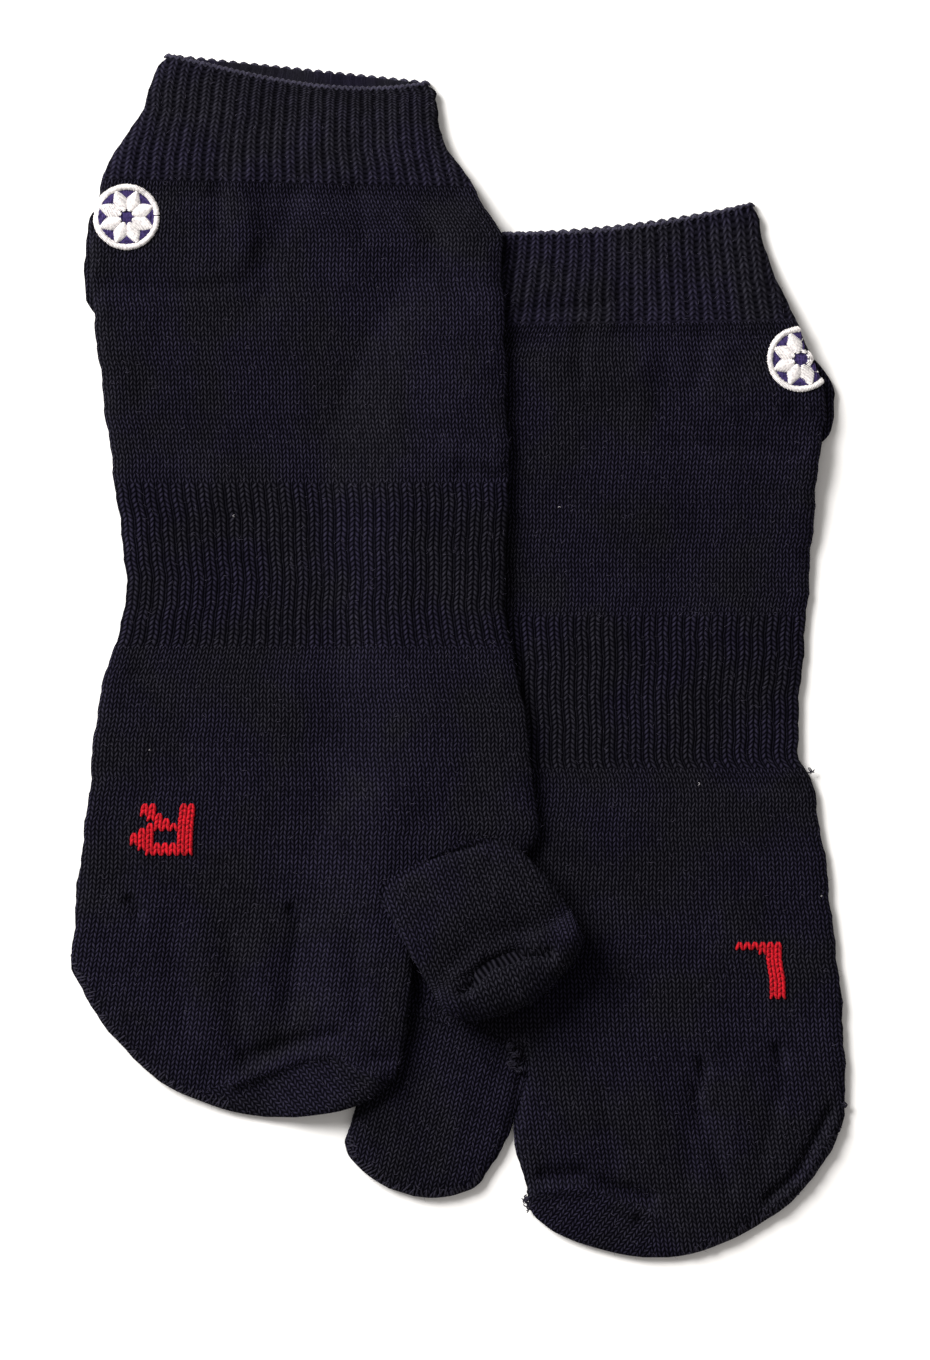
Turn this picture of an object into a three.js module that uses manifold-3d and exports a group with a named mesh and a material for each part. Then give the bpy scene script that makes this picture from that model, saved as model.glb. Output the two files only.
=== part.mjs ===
// A pair of knitted ankle socks with a split toe, laid flat with the right sock lapped over the left.
// Millimetres, +Z up, +Y towards the cuffs. The origin is on the floor, under the middle of the pair.

import * as THREE from "three";
import Module from "manifold-3d";

const wasm = await Module();
wasm.setup();

// The cloth, and how the layers lie
const WALL = 1.4;                        // one layer of knitted cloth
const HOLLOW = 0.8;                      // between the front layer and the back layer
const LAYERS = 2 * WALL + HOLLOW;        // a sock laid flat
const FOLD = 4;                          // how far in from a side fold the cloth is rounded
const RIB = 0.4;                         // how far a rib stands out
const DIP_SHAPE = 0.7;                   // below 1, the dip in a front rim is broad
const RIB_CREST = [0.28, 0.72];          // the part of a rib's width that stands out
const CLEAR = 0.7;                       // between a sock and what it lies on
const STACK = LAYERS + RIB + CLEAR;      // how far the upper sock is lifted by the lower one
const DRAPE = 14;                        // the width of the slope where a sock climbs over something
const POUCH = 3;                         // the heel pouch, folded flat beneath the leg
const POUCH_LAP = 0.3;                   // how far the pouch runs into the layer that it hangs from
const THINNEST = 0.3;                    // half the thickness that a closed end keeps
const THINNEST_HOLLOW = 0.1;             // half the height that the hollow keeps at its edges
const NARROWEST_HOLLOW = 0.15;           // the share of a section's width below which the hollow ends
const LIFT_EDGE = 1;                     // a lower layer lifts what lies on it this far past its edge

// How finely each kind of section is drawn: degrees round a side fold, and spans across each layer
const FOOT_GRAIN = { turns: [0, 27, 54, 80], front: 8, back: 5 };
const STALL_GRAIN = { turns: [0, 30, 64], front: 9, back: 5 };
const INNER_GRAIN = { turns: [0, 55], front: 4, back: 4 };
const POUCH_GRAIN = { turns: [0, 50], front: 4, back: 4 };
const INSET_STEP = 0.1;                   // how finely the inner edge of a wall is looked for
const FOLD_SHARE = 0.3;                  // the most of a narrow section's width that one fold takes
const FLATNESS = 0.3;                    // a span is halved where the cloth lies further than this from it
const PROBES = [0.3, 0.5, 0.7];          // where along a span that is tested
const HALVINGS = 3;
const FINEST = 0.01;                     // points closer than this are made one
const PATH_STEPS = 20;                   // steps along a folded tube's path between two of its sections

// Each row is one section of a sock: how far it is down from the top of the cuff at its left end, how
// much further down at its right end, where its left and right folds are, how far the front layer's
// rim dips below the back layer's, and how many ribs its front has.
const RIGHT_SOCK = {
  name: "sock_right",
  place: [-39.1, 149.7],
  tube: [
    { down: 0.0, tilt: 7.0, left: -34.2, right: 33.8, dip: 2.8, ribs: 23 },
    { down: 6.0, tilt: 5.0, left: -37.2, right: 33.6, dip: 1.4, ribs: 23 },
    { down: 14.0, tilt: 3.5, left: -40.0, right: 34.4, dip: 0, ribs: 23 },
    { down: 22.0, tilt: 2.5, left: -45.0, right: 37.4, dip: 0, ribs: 23 },
    { down: 29.0, tilt: 2.0, left: -49.3, right: 42.0, dip: 0, ribs: 23 },
    { down: 32.0, tilt: 2.0, left: -50.0, right: 43.6, dip: 0, ribs: 0 },
    { down: 37.5, tilt: 1.5, left: -50.6, right: 46.6, dip: 0, ribs: 0 },
    { down: 44.0, tilt: 0, left: -52.2, right: 49.6, dip: 0, ribs: 0 },
    { down: 56.0, tilt: 0, left: -52.2, right: 50.2, dip: 0, ribs: 0 },
    { down: 66.0, tilt: 0, left: -51.6, right: 50.8, dip: 0, ribs: 0 },
    { down: 78.0, tilt: 0, left: -50.2, right: 51.0, dip: 0, ribs: 0 },
    { down: 92.0, tilt: 0, left: -48.6, right: 51.4, dip: 0, ribs: 0 },
    { down: 98.5, tilt: 0, left: -47.7, right: 51.7, dip: 0, ribs: 0 },
    { down: 105.0, tilt: 0, left: -46.8, right: 52.0, dip: 0, ribs: 0 },
    { down: 109.0, tilt: 0, left: -46.4, right: 51.8, dip: 0, ribs: 29 },
    { down: 123.0, tilt: 0, left: -44.4, right: 51.2, dip: 0, ribs: 29 },
    { down: 137.0, tilt: 0, left: -44.0, right: 50.8, dip: 0, ribs: 29 },
    { down: 146.0, tilt: 0, left: -46.2, right: 52.2, dip: 0, ribs: 29 },
    { down: 149.5, tilt: 0, left: -47.6, right: 53.0, dip: 0, ribs: 0 },
    { down: 157.0, tilt: 0, left: -49.6, right: 54.5, dip: 0, ribs: 0 },
    { down: 168.0, tilt: 0, left: -51.6, right: 56.5, dip: 0, ribs: 0 },
    { down: 182.0, tilt: 0, left: -52.8, right: 57.8, dip: 0, ribs: 0 },
    { down: 195.0, tilt: 0, left: -54.4, right: 59.0, dip: 0, ribs: 0 },
    { down: 201.0, tilt: 0, left: -55.2, right: 54.0, dip: 0, ribs: 0 },
    { down: 206.0, tilt: 0, left: -55.8, right: 42.0, dip: 0, ribs: 0 },
    { down: 212.0, tilt: 0, left: -56.4, right: 30.5, dip: 0, ribs: 0 },
    { down: 220.0, tilt: 0, left: -56.9, right: 28.3, dip: 0, ribs: 0 },
    { down: 228.0, tilt: 0, left: -57.2, right: 27.9, dip: 0, ribs: 0 },
    { down: 233.0, tilt: 0, left: -55.0, right: 27.5, dip: 0, ribs: 0 },
    { down: 238.0, tilt: 0, left: -52.0, right: 27.0, dip: 0, ribs: 0 },
    { down: 243.0, tilt: 0, left: -48.4, right: 26.4, dip: 0, ribs: 0 },
    { down: 247.5, tilt: 0, left: -44.6, right: 25.5, dip: 0, ribs: 0 },
    { down: 251.5, tilt: 0, left: -40.8, right: 24.6, dip: 0, ribs: 0 },
    { down: 255.0, tilt: 0, left: -36.8, right: 23.6, dip: 0, ribs: 0 },
    { down: 258.0, tilt: 0, left: -31.8, right: 20.8, dip: 0, ribs: 0 },
    { down: 260.6, tilt: 0, left: -26.0, right: 17.0, dip: 0, ribs: 0 },
    { down: 262.8, tilt: 0, left: -20.0, right: 11.5, dip: 0, ribs: 0 },
    { down: 264.4, tilt: 0, left: -13.0, right: 3.0, dip: 0, ribs: 0 },
  ],
  // The heel pouch beneath the leg, folded down towards the toes
  pouch: [
    { down: 36.0, left: -40.0, right: 26.0 },
    { down: 40.0, left: -52.6, right: 32.0 },
    { down: 46.0, left: -53.8, right: 34.0 },
    { down: 56.0, left: -54.0, right: 34.0 },
    { down: 62.0, left: -53.4, right: 31.0 },
    { down: 65.0, left: -51.0, right: 27.0 },
    { down: 67.5, left: -40.0, right: 18.0 },
  ],
};

const LEFT_SOCK = {
  name: "sock_left",
  place: [45.4, 112.7],
  tube: [
    { down: 7.2, tilt: -7.2, left: -39.0, right: 28.8, dip: 1.4, ribs: 22 },
    { down: 12.5, tilt: -4.8, left: -40.8, right: 30.2, dip: 0.7, ribs: 22 },
    { down: 19.0, tilt: -3.0, left: -43.6, right: 33.2, dip: 0, ribs: 22 },
    { down: 26.5, tilt: -1.0, left: -48.8, right: 37.2, dip: 0, ribs: 22 },
    { down: 29.5, tilt: -1.0, left: -51.2, right: 38.6, dip: 0, ribs: 0 },
    { down: 35.0, tilt: -1.0, left: -54.4, right: 41.2, dip: 0, ribs: 0 },
    { down: 43.0, tilt: 0, left: -57.6, right: 44.8, dip: 0, ribs: 0 },
    { down: 52.0, tilt: 0, left: -58.0, right: 46.4, dip: 0, ribs: 0 },
    { down: 61.0, tilt: 0, left: -57.4, right: 45.0, dip: 0, ribs: 0 },
    { down: 66.5, tilt: 0, left: -57.3, right: 44.5, dip: 0, ribs: 0 },
    { down: 72.0, tilt: 0, left: -57.2, right: 44.0, dip: 0, ribs: 0 },
    { down: 87.0, tilt: 0, left: -57.4, right: 42.8, dip: 0, ribs: 0 },
    { down: 101.0, tilt: 0, left: -57.2, right: 41.8, dip: 0, ribs: 0 },
    { down: 105.0, tilt: 0, left: -57.0, right: 41.5, dip: 0, ribs: 29 },
    { down: 118.0, tilt: 0, left: -56.0, right: 40.4, dip: 0, ribs: 29 },
    { down: 131.0, tilt: 0, left: -55.2, right: 39.6, dip: 0, ribs: 29 },
    { down: 139.0, tilt: 0, left: -55.0, right: 40.2, dip: 0, ribs: 29 },
    { down: 143.0, tilt: 0, left: -55.4, right: 42.6, dip: 0, ribs: 0 },
    { down: 152.0, tilt: 0, left: -57.2, right: 44.4, dip: 0, ribs: 0 },
    { down: 165.0, tilt: 0, left: -60.4, right: 46.6, dip: 0, ribs: 0 },
    { down: 180.0, tilt: 0, left: -61.8, right: 48.2, dip: 0, ribs: 0 },
    { down: 194.0, tilt: 0, left: -63.0, right: 50.0, dip: 0, ribs: 0 },
    { down: 200.0, tilt: 0, left: -60.0, right: 50.5, dip: 0, ribs: 0 },
    { down: 204.5, tilt: 0, left: -49.0, right: 50.8, dip: 0, ribs: 0 },
    { down: 208.0, tilt: 0, left: -34.5, right: 51.0, dip: 0, ribs: 0 },
    { down: 212.5, tilt: 0, left: -28.4, right: 51.2, dip: 0, ribs: 0 },
    { down: 220.0, tilt: 0, left: -29.0, right: 51.3, dip: 0, ribs: 0 },
    { down: 227.0, tilt: 0, left: -31.0, right: 51.3, dip: 0, ribs: 0 },
    { down: 232.0, tilt: 0, left: -31.7, right: 49.6, dip: 0, ribs: 0 },
    { down: 238.0, tilt: 0, left: -30.5, right: 47.0, dip: 0, ribs: 0 },
    { down: 243.5, tilt: 0, left: -28.4, right: 43.0, dip: 0, ribs: 0 },
    { down: 248.5, tilt: 0, left: -27.6, right: 38.4, dip: 0, ribs: 0 },
    { down: 252.5, tilt: 0, left: -24.0, right: 33.4, dip: 0, ribs: 0 },
    { down: 256.0, tilt: 0, left: -18.8, right: 28.0, dip: 0, ribs: 0 },
    { down: 259.0, tilt: 0, left: -13.0, right: 22.0, dip: 0, ribs: 0 },
    { down: 261.3, tilt: 0, left: -6.5, right: 16.0, dip: 0, ribs: 0 },
    { down: 262.6, tilt: 0, left: -0.5, right: 10.0, dip: 0, ribs: 0 },
  ],
  pouch: [
    { down: 35.0, left: -30.0, right: 33.0 },
    { down: 39.0, left: -38.0, right: 44.0 },
    { down: 45.0, left: -40.0, right: 48.0 },
    { down: 52.0, left: -40.5, right: 48.7 },
    { down: 56.0, left: -39.0, right: 48.2 },
    { down: 59.0, left: -34.0, right: 46.0 },
    { down: 61.5, left: -24.0, right: 34.0 },
  ],
};

// The left sock's big-toe stall lies flat, in a frame of its own turned away from the foot
const LEFT_STALL = {
  place: [-0.9, -88.7],
  turn: 17.5,
  tube: [
    { down: -9.0, left: -14.0, right: 16.0 },
    { down: 1.0, left: -17.0, right: 19.0 },
    { down: 8.0, left: -17.2, right: 19.4 },
    { down: 16.0, left: -16.9, right: 20.0 },
    { down: 24.0, left: -16.5, right: 20.5 },
    { down: 31.0, left: -16.3, right: 20.0 },
    { down: 36.5, left: -16.1, right: 19.2 },
    { down: 40.0, left: -15.8, right: 18.2 },
    { down: 42.6, left: -14.2, right: 15.8 },
    { down: 44.7, left: -10.6, right: 12.2 },
    { down: 46.3, left: -6.4, right: 8.4 },
    { down: 47.2, left: -2.6, right: 4.2 },
  ],
};

// The right sock's big-toe stall leaves the foot, turns up over its own root and lies back on the foot.
// Each row gives how far out from the fold's middle the section lies, how far up, its two edges, and
// how far the section's ends hang back from its middle.
const RIGHT_STALL = {
  place: [14.1, -80.0],
  turn: -30,
  tube: [
    { out: -27.0, up: 0, left: -14.0, right: 15.5, bow: 0 },
    { out: -19.0, up: 0, left: -16.5, right: 17.5, bow: 0 },
    { out: -10.0, up: 0, left: -18.0, right: 18.5, bow: 0 },
    { out: -2.0, up: 0.2, left: -19.0, right: 19.2, bow: 2.5 },
    { out: 3.0, up: 1.4, left: -19.3, right: 19.6, bow: 5.5 },
    { out: 5.8, up: 4.0, left: -19.5, right: 19.9, bow: 6.5 },
    { out: 4.6, up: 6.8, left: -19.6, right: 20.1, bow: 6.0 },
    { out: 1.0, up: 8.0, left: -19.6, right: 20.3, bow: 4.5 },
    { out: -2.8, up: 6.9, left: -19.5, right: 20.5, bow: 2.5 },
    { out: -6.0, up: 5.2, left: -19.5, right: 20.6, bow: 1.0 },
    { out: -10.0, up: 5.3, left: -19.5, right: 20.4, bow: 0 },
    { out: -15.5, up: 6.4, left: -19.6, right: 19.6, bow: 0 },
    { out: -22.0, up: 6.6, left: -19.9, right: 18.2, bow: 0 },
    { out: -28.0, up: 6.0, left: -19.7, right: 16.5, bow: 0 },
    { out: -32.0, up: 5.4, left: -18.6, right: 14.0, bow: 0 },
    { out: -34.6, up: 5.1, left: -16.0, right: 9.0, bow: 0 },
    { out: -36.6, up: 4.9, left: -13.4, right: 3.0, bow: 0 },
    { out: -37.6, up: 4.8, left: -11.6, right: -4.0, bow: 0 },
  ],
};

// The largest folds on the toe pockets, where the cap from under the toes is linked over the front:
// each is a soft ridge or trough along a line, in its own sock's frame.
const FOLDS = {
  sock_right: [
    { x1: -22, down1: 257.5, x2: 8, down2: 249.5, rise: 0.9, reach: 3.6 },
    { x1: 8, down1: 249.5, x2: 19, down2: 254, rise: 1.0, reach: 3.2 },
    { x1: -14, down1: 249.5, x2: 4, down2: 243.5, rise: -0.35, reach: 4.5 },
  ],
  sock_left: [
    { x1: -26, down1: 247.5, x2: -14, down2: 245, rise: 1.0, reach: 3.2 },
    { x1: -14, down1: 245, x2: 2, down2: 251.5, rise: 0.8, reach: 3.6 },
    { x1: -12, down1: 240, x2: 6, down2: 244.5, rise: -0.35, reach: 4.5 },
  ],
};

// Plane geometry

const mix = (a, b, t) => a + (b - a) * t;
const radians = THREE.MathUtils.degToRad;
const smooth = THREE.MathUtils.smoothstep;

function distanceToSegment(p, a, b) {
  const run = [b[0] - a[0], b[1] - a[1]];
  const along = (p[0] - a[0]) * run[0] + (p[1] - a[1]) * run[1];
  const t = Math.min(1, Math.max(0, along / (run[0] ** 2 + run[1] ** 2)));
  return Math.hypot(p[0] - a[0] - t * run[0], p[1] - a[1] - t * run[1]);
}

// The folded edge of a flat tube: down its left side, round its end and up its right side
function edgeOf(rows) {
  const left = rows.map((row) => [row.left, row.down]);
  const right = rows.map((row) => [row.right, row.down + (row.tilt ?? 0)]);
  return [...left, ...right.reverse()];
}

function distanceToEdge(p, edge) {
  let nearest = Infinity;
  for (let i = 1; i < edge.length; i++) {
    nearest = Math.min(nearest, distanceToSegment(p, edge[i - 1], edge[i]));
  }
  return nearest;
}

function isInside(p, edge) {
  let inside = false;
  for (let i = 0, j = edge.length - 1; i < edge.length; j = i++) {
    const [a, b] = [edge[i], edge[j]];
    const crosses = (a[1] > p[1]) !== (b[1] > p[1]);
    if (crosses && p[0] < (b[0] - a[0]) * (p[1] - a[1]) / (b[1] - a[1]) + a[0]) inside = !inside;
  }
  return inside;
}

// How fully a point is carried by what lies beneath it: 1 over it, falling to 0 across the slope
function carriedBy(p, edge, slope) {
  if (isInside(p, edge)) return 1;
  return 1 - smooth(distanceToEdge(p, edge), LIFT_EDGE, slope);
}

// From 0 at a folded edge to 1 where the layers lie flat, as a quarter of an ellipse
function rounded(distance, reach) {
  const t = Math.min(1, Math.max(0, distance / reach));
  return Math.sqrt(1 - (1 - t) ** 2);
}

// Heights: what each sock lies on

// A frame on the floor: its own across and down, turned clockwise as seen from above
function floorFrame(place, turn = 0) {
  const [c, s] = [Math.cos(radians(turn)), Math.sin(radians(turn))];
  return {
    toFloor: (across, down) => [place[0] + across * c - down * s, place[1] - across * s - down * c],
    fromFloor: (x, y) => {
      const [dx, dy] = [x - place[0], y - place[1]];
      return [dx * c - dy * s, -dx * s - dy * c];
    },
  };
}

const rightFrame = floorFrame(RIGHT_SOCK.place);
const leftFrame = floorFrame(LEFT_SOCK.place);
const leftStallFrame = floorFrame(LEFT_STALL.place, LEFT_STALL.turn);
const rightStallFrame = floorFrame(RIGHT_STALL.place, RIGHT_STALL.turn);

const leftEdge = edgeOf(LEFT_SOCK.tube);
const leftStallEdge = edgeOf(LEFT_STALL.tube);

function pouchLift(p, pouch) {
  return (POUCH - POUCH_LAP) * carriedBy(p, edgeOf(pouch), DRAPE);
}

function underLeft(x, y) {
  return pouchLift(leftFrame.fromFloor(x, y), LEFT_SOCK.pouch);
}

function underRight(x, y) {
  const onFoot = carriedBy(leftFrame.fromFloor(x, y), leftEdge, DRAPE);
  const onStall = carriedBy(leftStallFrame.fromFloor(x, y), leftStallEdge, DRAPE);
  const overLeft = Math.max(onFoot, onStall) * STACK + onFoot * underLeft(x, y);
  return Math.max(overLeft, pouchLift(rightFrame.fromFloor(x, y), RIGHT_SOCK.pouch));
}

function foldHeight(p, folds) {
  let height = 0;
  for (const fold of folds) {
    const away = distanceToSegment(p, [fold.x1, fold.down1], [fold.x2, fold.down2]);
    height += fold.rise * Math.exp(-((away / fold.reach) ** 2));
  }
  return height;
}

// Sections of a flat tube

// Fractions across one layer: close together round the folds, then even spans. Each span may hold
// more points, at the given shares of it, such as the two edges of a rib's crest.
function fractions(width, spans, turns, within = []) {
  const reach = Math.min(FOLD, FOLD_SHARE * width) / width;
  const edge = turns.map((angle) => reach * (1 - Math.cos(radians(angle))));
  const even = Array.from({ length: spans }, (_, i) => [i, ...within.map((share) => i + share)]).flat();
  const across = [...even, spans].map((n) => mix(reach, 1 - reach, n / spans));
  return [...edge, ...across, ...edge.map((f) => 1 - f).reverse()];
}

// Adds fractions to a list wherever the height across the layer isn't straight between two of them
function refined(list, heightAt) {
  const halve = (a, b, depth) => {
    const off = (t) => Math.abs(heightAt(mix(a, b, t)) - mix(heightAt(a), heightAt(b), t));
    if (depth === 0 || Math.max(...PROBES.map(off)) < FLATNESS) return [];
    const middle = (a + b) / 2;
    return [...halve(a, middle, depth - 1), middle, ...halve(middle, b, depth - 1)];
  };
  return list.flatMap((f, i) => (i === 0 ? [f] : [...halve(list[i - 1], f, HALVINGS), f]));
}

// One ring round a section, front layer from left to right and then the back layer. Each point keeps
// its place round the ring, so that rings with and without ribs can be joined.
function ring(row, shape, inner) {
  const tilt = row.tilt ?? 0;
  let [from, to] = [0, 1];
  const width = row.right - row.left;
  const at = (f) => [mix(row.left, row.right, f), row.down + tilt * f];
  if (inner) {
    while (from < 0.5 && distanceToEdge(at(from), shape.edge) < WALL) from += INSET_STEP / width;
    while (to > 0.5 && distanceToEdge(at(to), shape.edge) < WALL) to -= INSET_STEP / width;
    if (to - from < NARROWEST_HOLLOW) return null;
  }
  const grain = inner ? INNER_GRAIN : shape.grain;
  const flat = (inner ? HOLLOW : LAYERS) / 2;
  const start = inner ? WALL : 0;
  const thinnest = inner ? THINNEST_HOLLOW : THINNEST;
  const ribs = inner ? 0 : row.ribs ?? 0;
  const point = (f, side, rib) => {
    const g = mix(from, to, f);
    const p = at(g);
    const full = rounded(distanceToEdge(p, shape.edge) - start, FOLD - start);
    const half = f === 0 || f === 1 ? 0 : Math.max(flat * full, thinnest);
    let height = side * half;
    if (side > 0) {
      height += (foldHeight(p, shape.folds) + rib) * full;
      p[1] += (row.dip ?? 0) * Math.sin(Math.PI * g) ** DIP_SHAPE;
    }
    return { k: side > 0 ? g / 2 : 1 - g / 2, at: shape.put(p[0], p[1], height, row) };
  };
  const heightOf = (side) => (f) => point(f, side, 0).at[2];
  const front = ribs
    ? fractions(width, ribs, grain.turns, RIB_CREST)
    : refined(fractions(width, grain.front, grain.turns), heightOf(1));
  const back = refined(fractions(width, grain.back, grain.turns), heightOf(-1)).slice(1, -1).reverse();
  const pointsPerRib = 1 + RIB_CREST.length;
  const isCrest = (i) => {
    const n = i - grain.turns.length;
    return n > 0 && n < ribs * pointsPerRib && n % pointsPerRib > 0;
  };
  return [
    ...front.map((f, i) => point(f, 1, isCrest(i) ? RIB : 0)),
    ...back.map((f) => point(f, -1, 0)),
  ];
}

function closed(vertProperties, triVerts) {
  return new wasm.Manifold(new wasm.Mesh({ numProp: 3, vertProperties, triVerts }));
}

// Joins rings in order into one closed skin, each end closed by a fan
function skin(rings) {
  const vertices = [];
  const faces = [];
  const starts = rings.map((points) => {
    const start = vertices.length / 3;
    points.forEach((point) => vertices.push(...point.at));
    return start;
  });
  const face = (a, b, c) => faces.push(a, b, c);
  for (let r = 1; r < rings.length; r++) {
    const [lower, upper] = [rings[r - 1], rings[r]];
    let [i, j] = [0, 0];
    while (i < lower.length || j < upper.length) {
      const a = starts[r - 1] + (i % lower.length);
      const b = starts[r] + (j % upper.length);
      const nextLower = i + 1 < lower.length ? lower[i + 1].k : 1;
      const nextUpper = j + 1 < upper.length ? upper[j + 1].k : 1;
      const stepLower = lower.length === upper.length ? i <= j : nextLower <= nextUpper;
      if (j >= upper.length || (i < lower.length && stepLower)) {
        face(a, starts[r - 1] + ((i + 1) % lower.length), b);
        i++;
      } else {
        face(a, starts[r] + ((j + 1) % upper.length), b);
        j++;
      }
    }
  }
  const close = (points, start, order) => {
    const middle = new THREE.Vector3();
    points.forEach((point) => middle.add(new THREE.Vector3(...point.at)));
    const centre = vertices.length / 3;
    vertices.push(...middle.divideScalar(points.length).toArray());
    points.forEach((_, i) => {
      const next = start + ((i + 1) % points.length);
      if (order > 0) face(start + i, next, centre);
      else face(next, start + i, centre);
    });
  };
  close(rings[0], starts[0], -1);
  close(rings[rings.length - 1], starts[rings.length - 1], 1);
  return closed(new Float32Array(vertices), new Uint32Array(faces));
}

// A tube that lies flat on what is beneath it
function flatTube(rows, frame, under, folds, grain) {
  const put = (across, down, height) => {
    const [x, y] = frame.toFloor(across, down);
    return [x, y, under(x, y) + LAYERS / 2 + height];
  };
  return { rows, edge: edgeOf(rows), folds, put, grain };
}

// A tube folded back on itself: its sections follow a path out, up and back over the foot
function foldedTube(table, frame, base) {
  const path = new THREE.CatmullRomCurve3(table.map((row) => new THREE.Vector3(row.out, 0, row.up)));
  const lengths = path.getLengths((table.length - 1) * PATH_STEPS);
  const rows = table.map((row, i) => ({ ...row, index: i, down: lengths[i * PATH_STEPS] }));
  const put = (across, down, height, row) => {
    const tangent = path.getTangent(row.index / (table.length - 1));
    const halfWidth = (row.right - row.left) / 2;
    const offside = (across - (row.left + row.right) / 2) / halfWidth;
    const out = row.out - row.bow * offside ** 2 - tangent.z * height;
    const [x, y] = frame.toFloor(across, out);
    return [x, y, base + row.up + tangent.x * height];
  };
  return { rows, edge: edgeOf(rows), folds: [], put, grain: STALL_GRAIN };
}

// Solids

// Both kinds of tube: the outer form closed at both ends, the hollow inside, and the open tube
function tubeRings(shape) {
  const outer = shape.rows.map((row) => ring(row, shape, false)).reverse();
  const inner = shape.rows.map((row) => ring(row, shape, true)).filter((points) => points);
  return { outer, inner };
}

function pouchOf(rows, frame) {
  const layer = POUCH / 2 + POUCH_LAP / 2;
  const layers = [0, 1].map((level) => {
    const put = (across, down, height) => {
      const middle = layer / 2 + level * (POUCH - layer);
      return [...frame.toFloor(across, down), middle + height * (layer / LAYERS)];
    };
    return skin(tubeRings({ rows, edge: edgeOf(rows), folds: [], put, grain: POUCH_GRAIN }).outer);
  });
  return layers[0].add(layers[1]);
}

// A sock: the open tube, joined to its big-toe stall with one hollow through both, and its heel pouch
function sockSolid(sock, frame, under, stall) {
  const foot = tubeRings(flatTube(sock.tube, frame, under, FOLDS[sock.name], FOOT_GRAIN));
  const openTube = skin([...foot.outer, ...foot.inner]);
  const footHollow = skin([...foot.inner].reverse());
  const toe = tubeRings(stall);
  const toeHollow = skin([...toe.inner].reverse());
  const toeCloth = skin(toe.outer).subtract(toeHollow).subtract(footHollow);
  return openTube.subtract(toeHollow).add(toeCloth).add(pouchOf(sock.pouch, frame));
}

function clothMesh(name, solid) {
  const exact = solid.getMesh();
  const result = closed(exact.vertProperties, exact.triVerts).simplify(FINEST).getMesh();
  const geometry = new THREE.BufferGeometry();
  geometry.setAttribute("position", new THREE.BufferAttribute(result.vertProperties.slice(), 3));
  geometry.setIndex(new THREE.BufferAttribute(result.triVerts.slice(), 1));
  geometry.computeVertexNormals();
  const cotton = new THREE.MeshStandardMaterial({ color: 0x1a1b26, roughness: 0.95, metalness: 0 });
  const mesh = new THREE.Mesh(geometry, cotton);
  mesh.name = name;
  return mesh;
}

const leftStall = flatTube(LEFT_STALL.tube, leftStallFrame, underLeft, [], STALL_GRAIN);
const rightStall = foldedTube(RIGHT_STALL.tube, rightStallFrame, STACK + LAYERS / 2);

const pair = new THREE.Group();
pair.add(clothMesh(LEFT_SOCK.name, sockSolid(LEFT_SOCK, leftFrame, underLeft, leftStall)));
pair.add(clothMesh(RIGHT_SOCK.name, sockSolid(RIGHT_SOCK, rightFrame, underRight, rightStall)));

const box = new THREE.Box3().setFromObject(pair);
const middle = box.getCenter(new THREE.Vector3());
pair.position.set(-middle.x, -middle.y, -box.min.z);

export default pair;
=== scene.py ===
# A pair of navy knitted ankle socks with a split toe, laid flat, the right one lapped over the left

import math
import random

import bpy
import numpy as np
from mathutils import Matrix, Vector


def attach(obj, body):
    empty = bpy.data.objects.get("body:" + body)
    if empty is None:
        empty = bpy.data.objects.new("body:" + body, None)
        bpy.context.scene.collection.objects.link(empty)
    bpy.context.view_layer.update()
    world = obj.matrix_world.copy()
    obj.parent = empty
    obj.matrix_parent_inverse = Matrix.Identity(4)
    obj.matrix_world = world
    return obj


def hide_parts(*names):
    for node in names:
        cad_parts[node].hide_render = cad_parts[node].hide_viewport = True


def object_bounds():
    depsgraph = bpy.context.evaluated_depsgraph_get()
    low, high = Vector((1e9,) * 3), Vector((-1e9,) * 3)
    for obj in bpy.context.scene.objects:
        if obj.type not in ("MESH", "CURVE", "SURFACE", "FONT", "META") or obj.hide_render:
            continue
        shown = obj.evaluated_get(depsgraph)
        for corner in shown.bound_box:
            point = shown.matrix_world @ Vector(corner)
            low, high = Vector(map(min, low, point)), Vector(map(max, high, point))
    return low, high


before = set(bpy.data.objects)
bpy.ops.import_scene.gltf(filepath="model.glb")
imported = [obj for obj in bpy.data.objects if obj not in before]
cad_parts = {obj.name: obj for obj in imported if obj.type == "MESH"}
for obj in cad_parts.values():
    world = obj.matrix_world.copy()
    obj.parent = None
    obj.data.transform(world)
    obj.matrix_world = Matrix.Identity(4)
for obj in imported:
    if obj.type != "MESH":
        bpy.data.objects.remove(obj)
cad_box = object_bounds()


# The camera
# It looks straight down, with the cuffs at the top of the picture. The picture is 930 x 1360, and
# its long side takes in 340 mm of the floor.
MM = 0.001
CAMERA_HEIGHT = 2000 * MM
VIEW_LENGTH = 340 * MM
VIEW_CENTRE = (1.6 * MM, -6.0 * MM)
SENSOR = 36.0


def placed(name, data, at=(0, 0, 0), turn=(0, 0, 0)):
    """A new object in the scene. turn is in degrees."""
    made = bpy.data.objects.new(name, data)
    made.location = at
    made.rotation_euler = [math.radians(angle) for angle in turn]
    bpy.context.scene.collection.objects.link(made)
    return made


lens = bpy.data.cameras.new("camera")
lens.sensor_width = SENSOR
lens.lens = SENSOR * CAMERA_HEIGHT / VIEW_LENGTH
bpy.context.scene.camera = placed("camera", lens, (*VIEW_CENTRE, CAMERA_HEIGHT))


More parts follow.
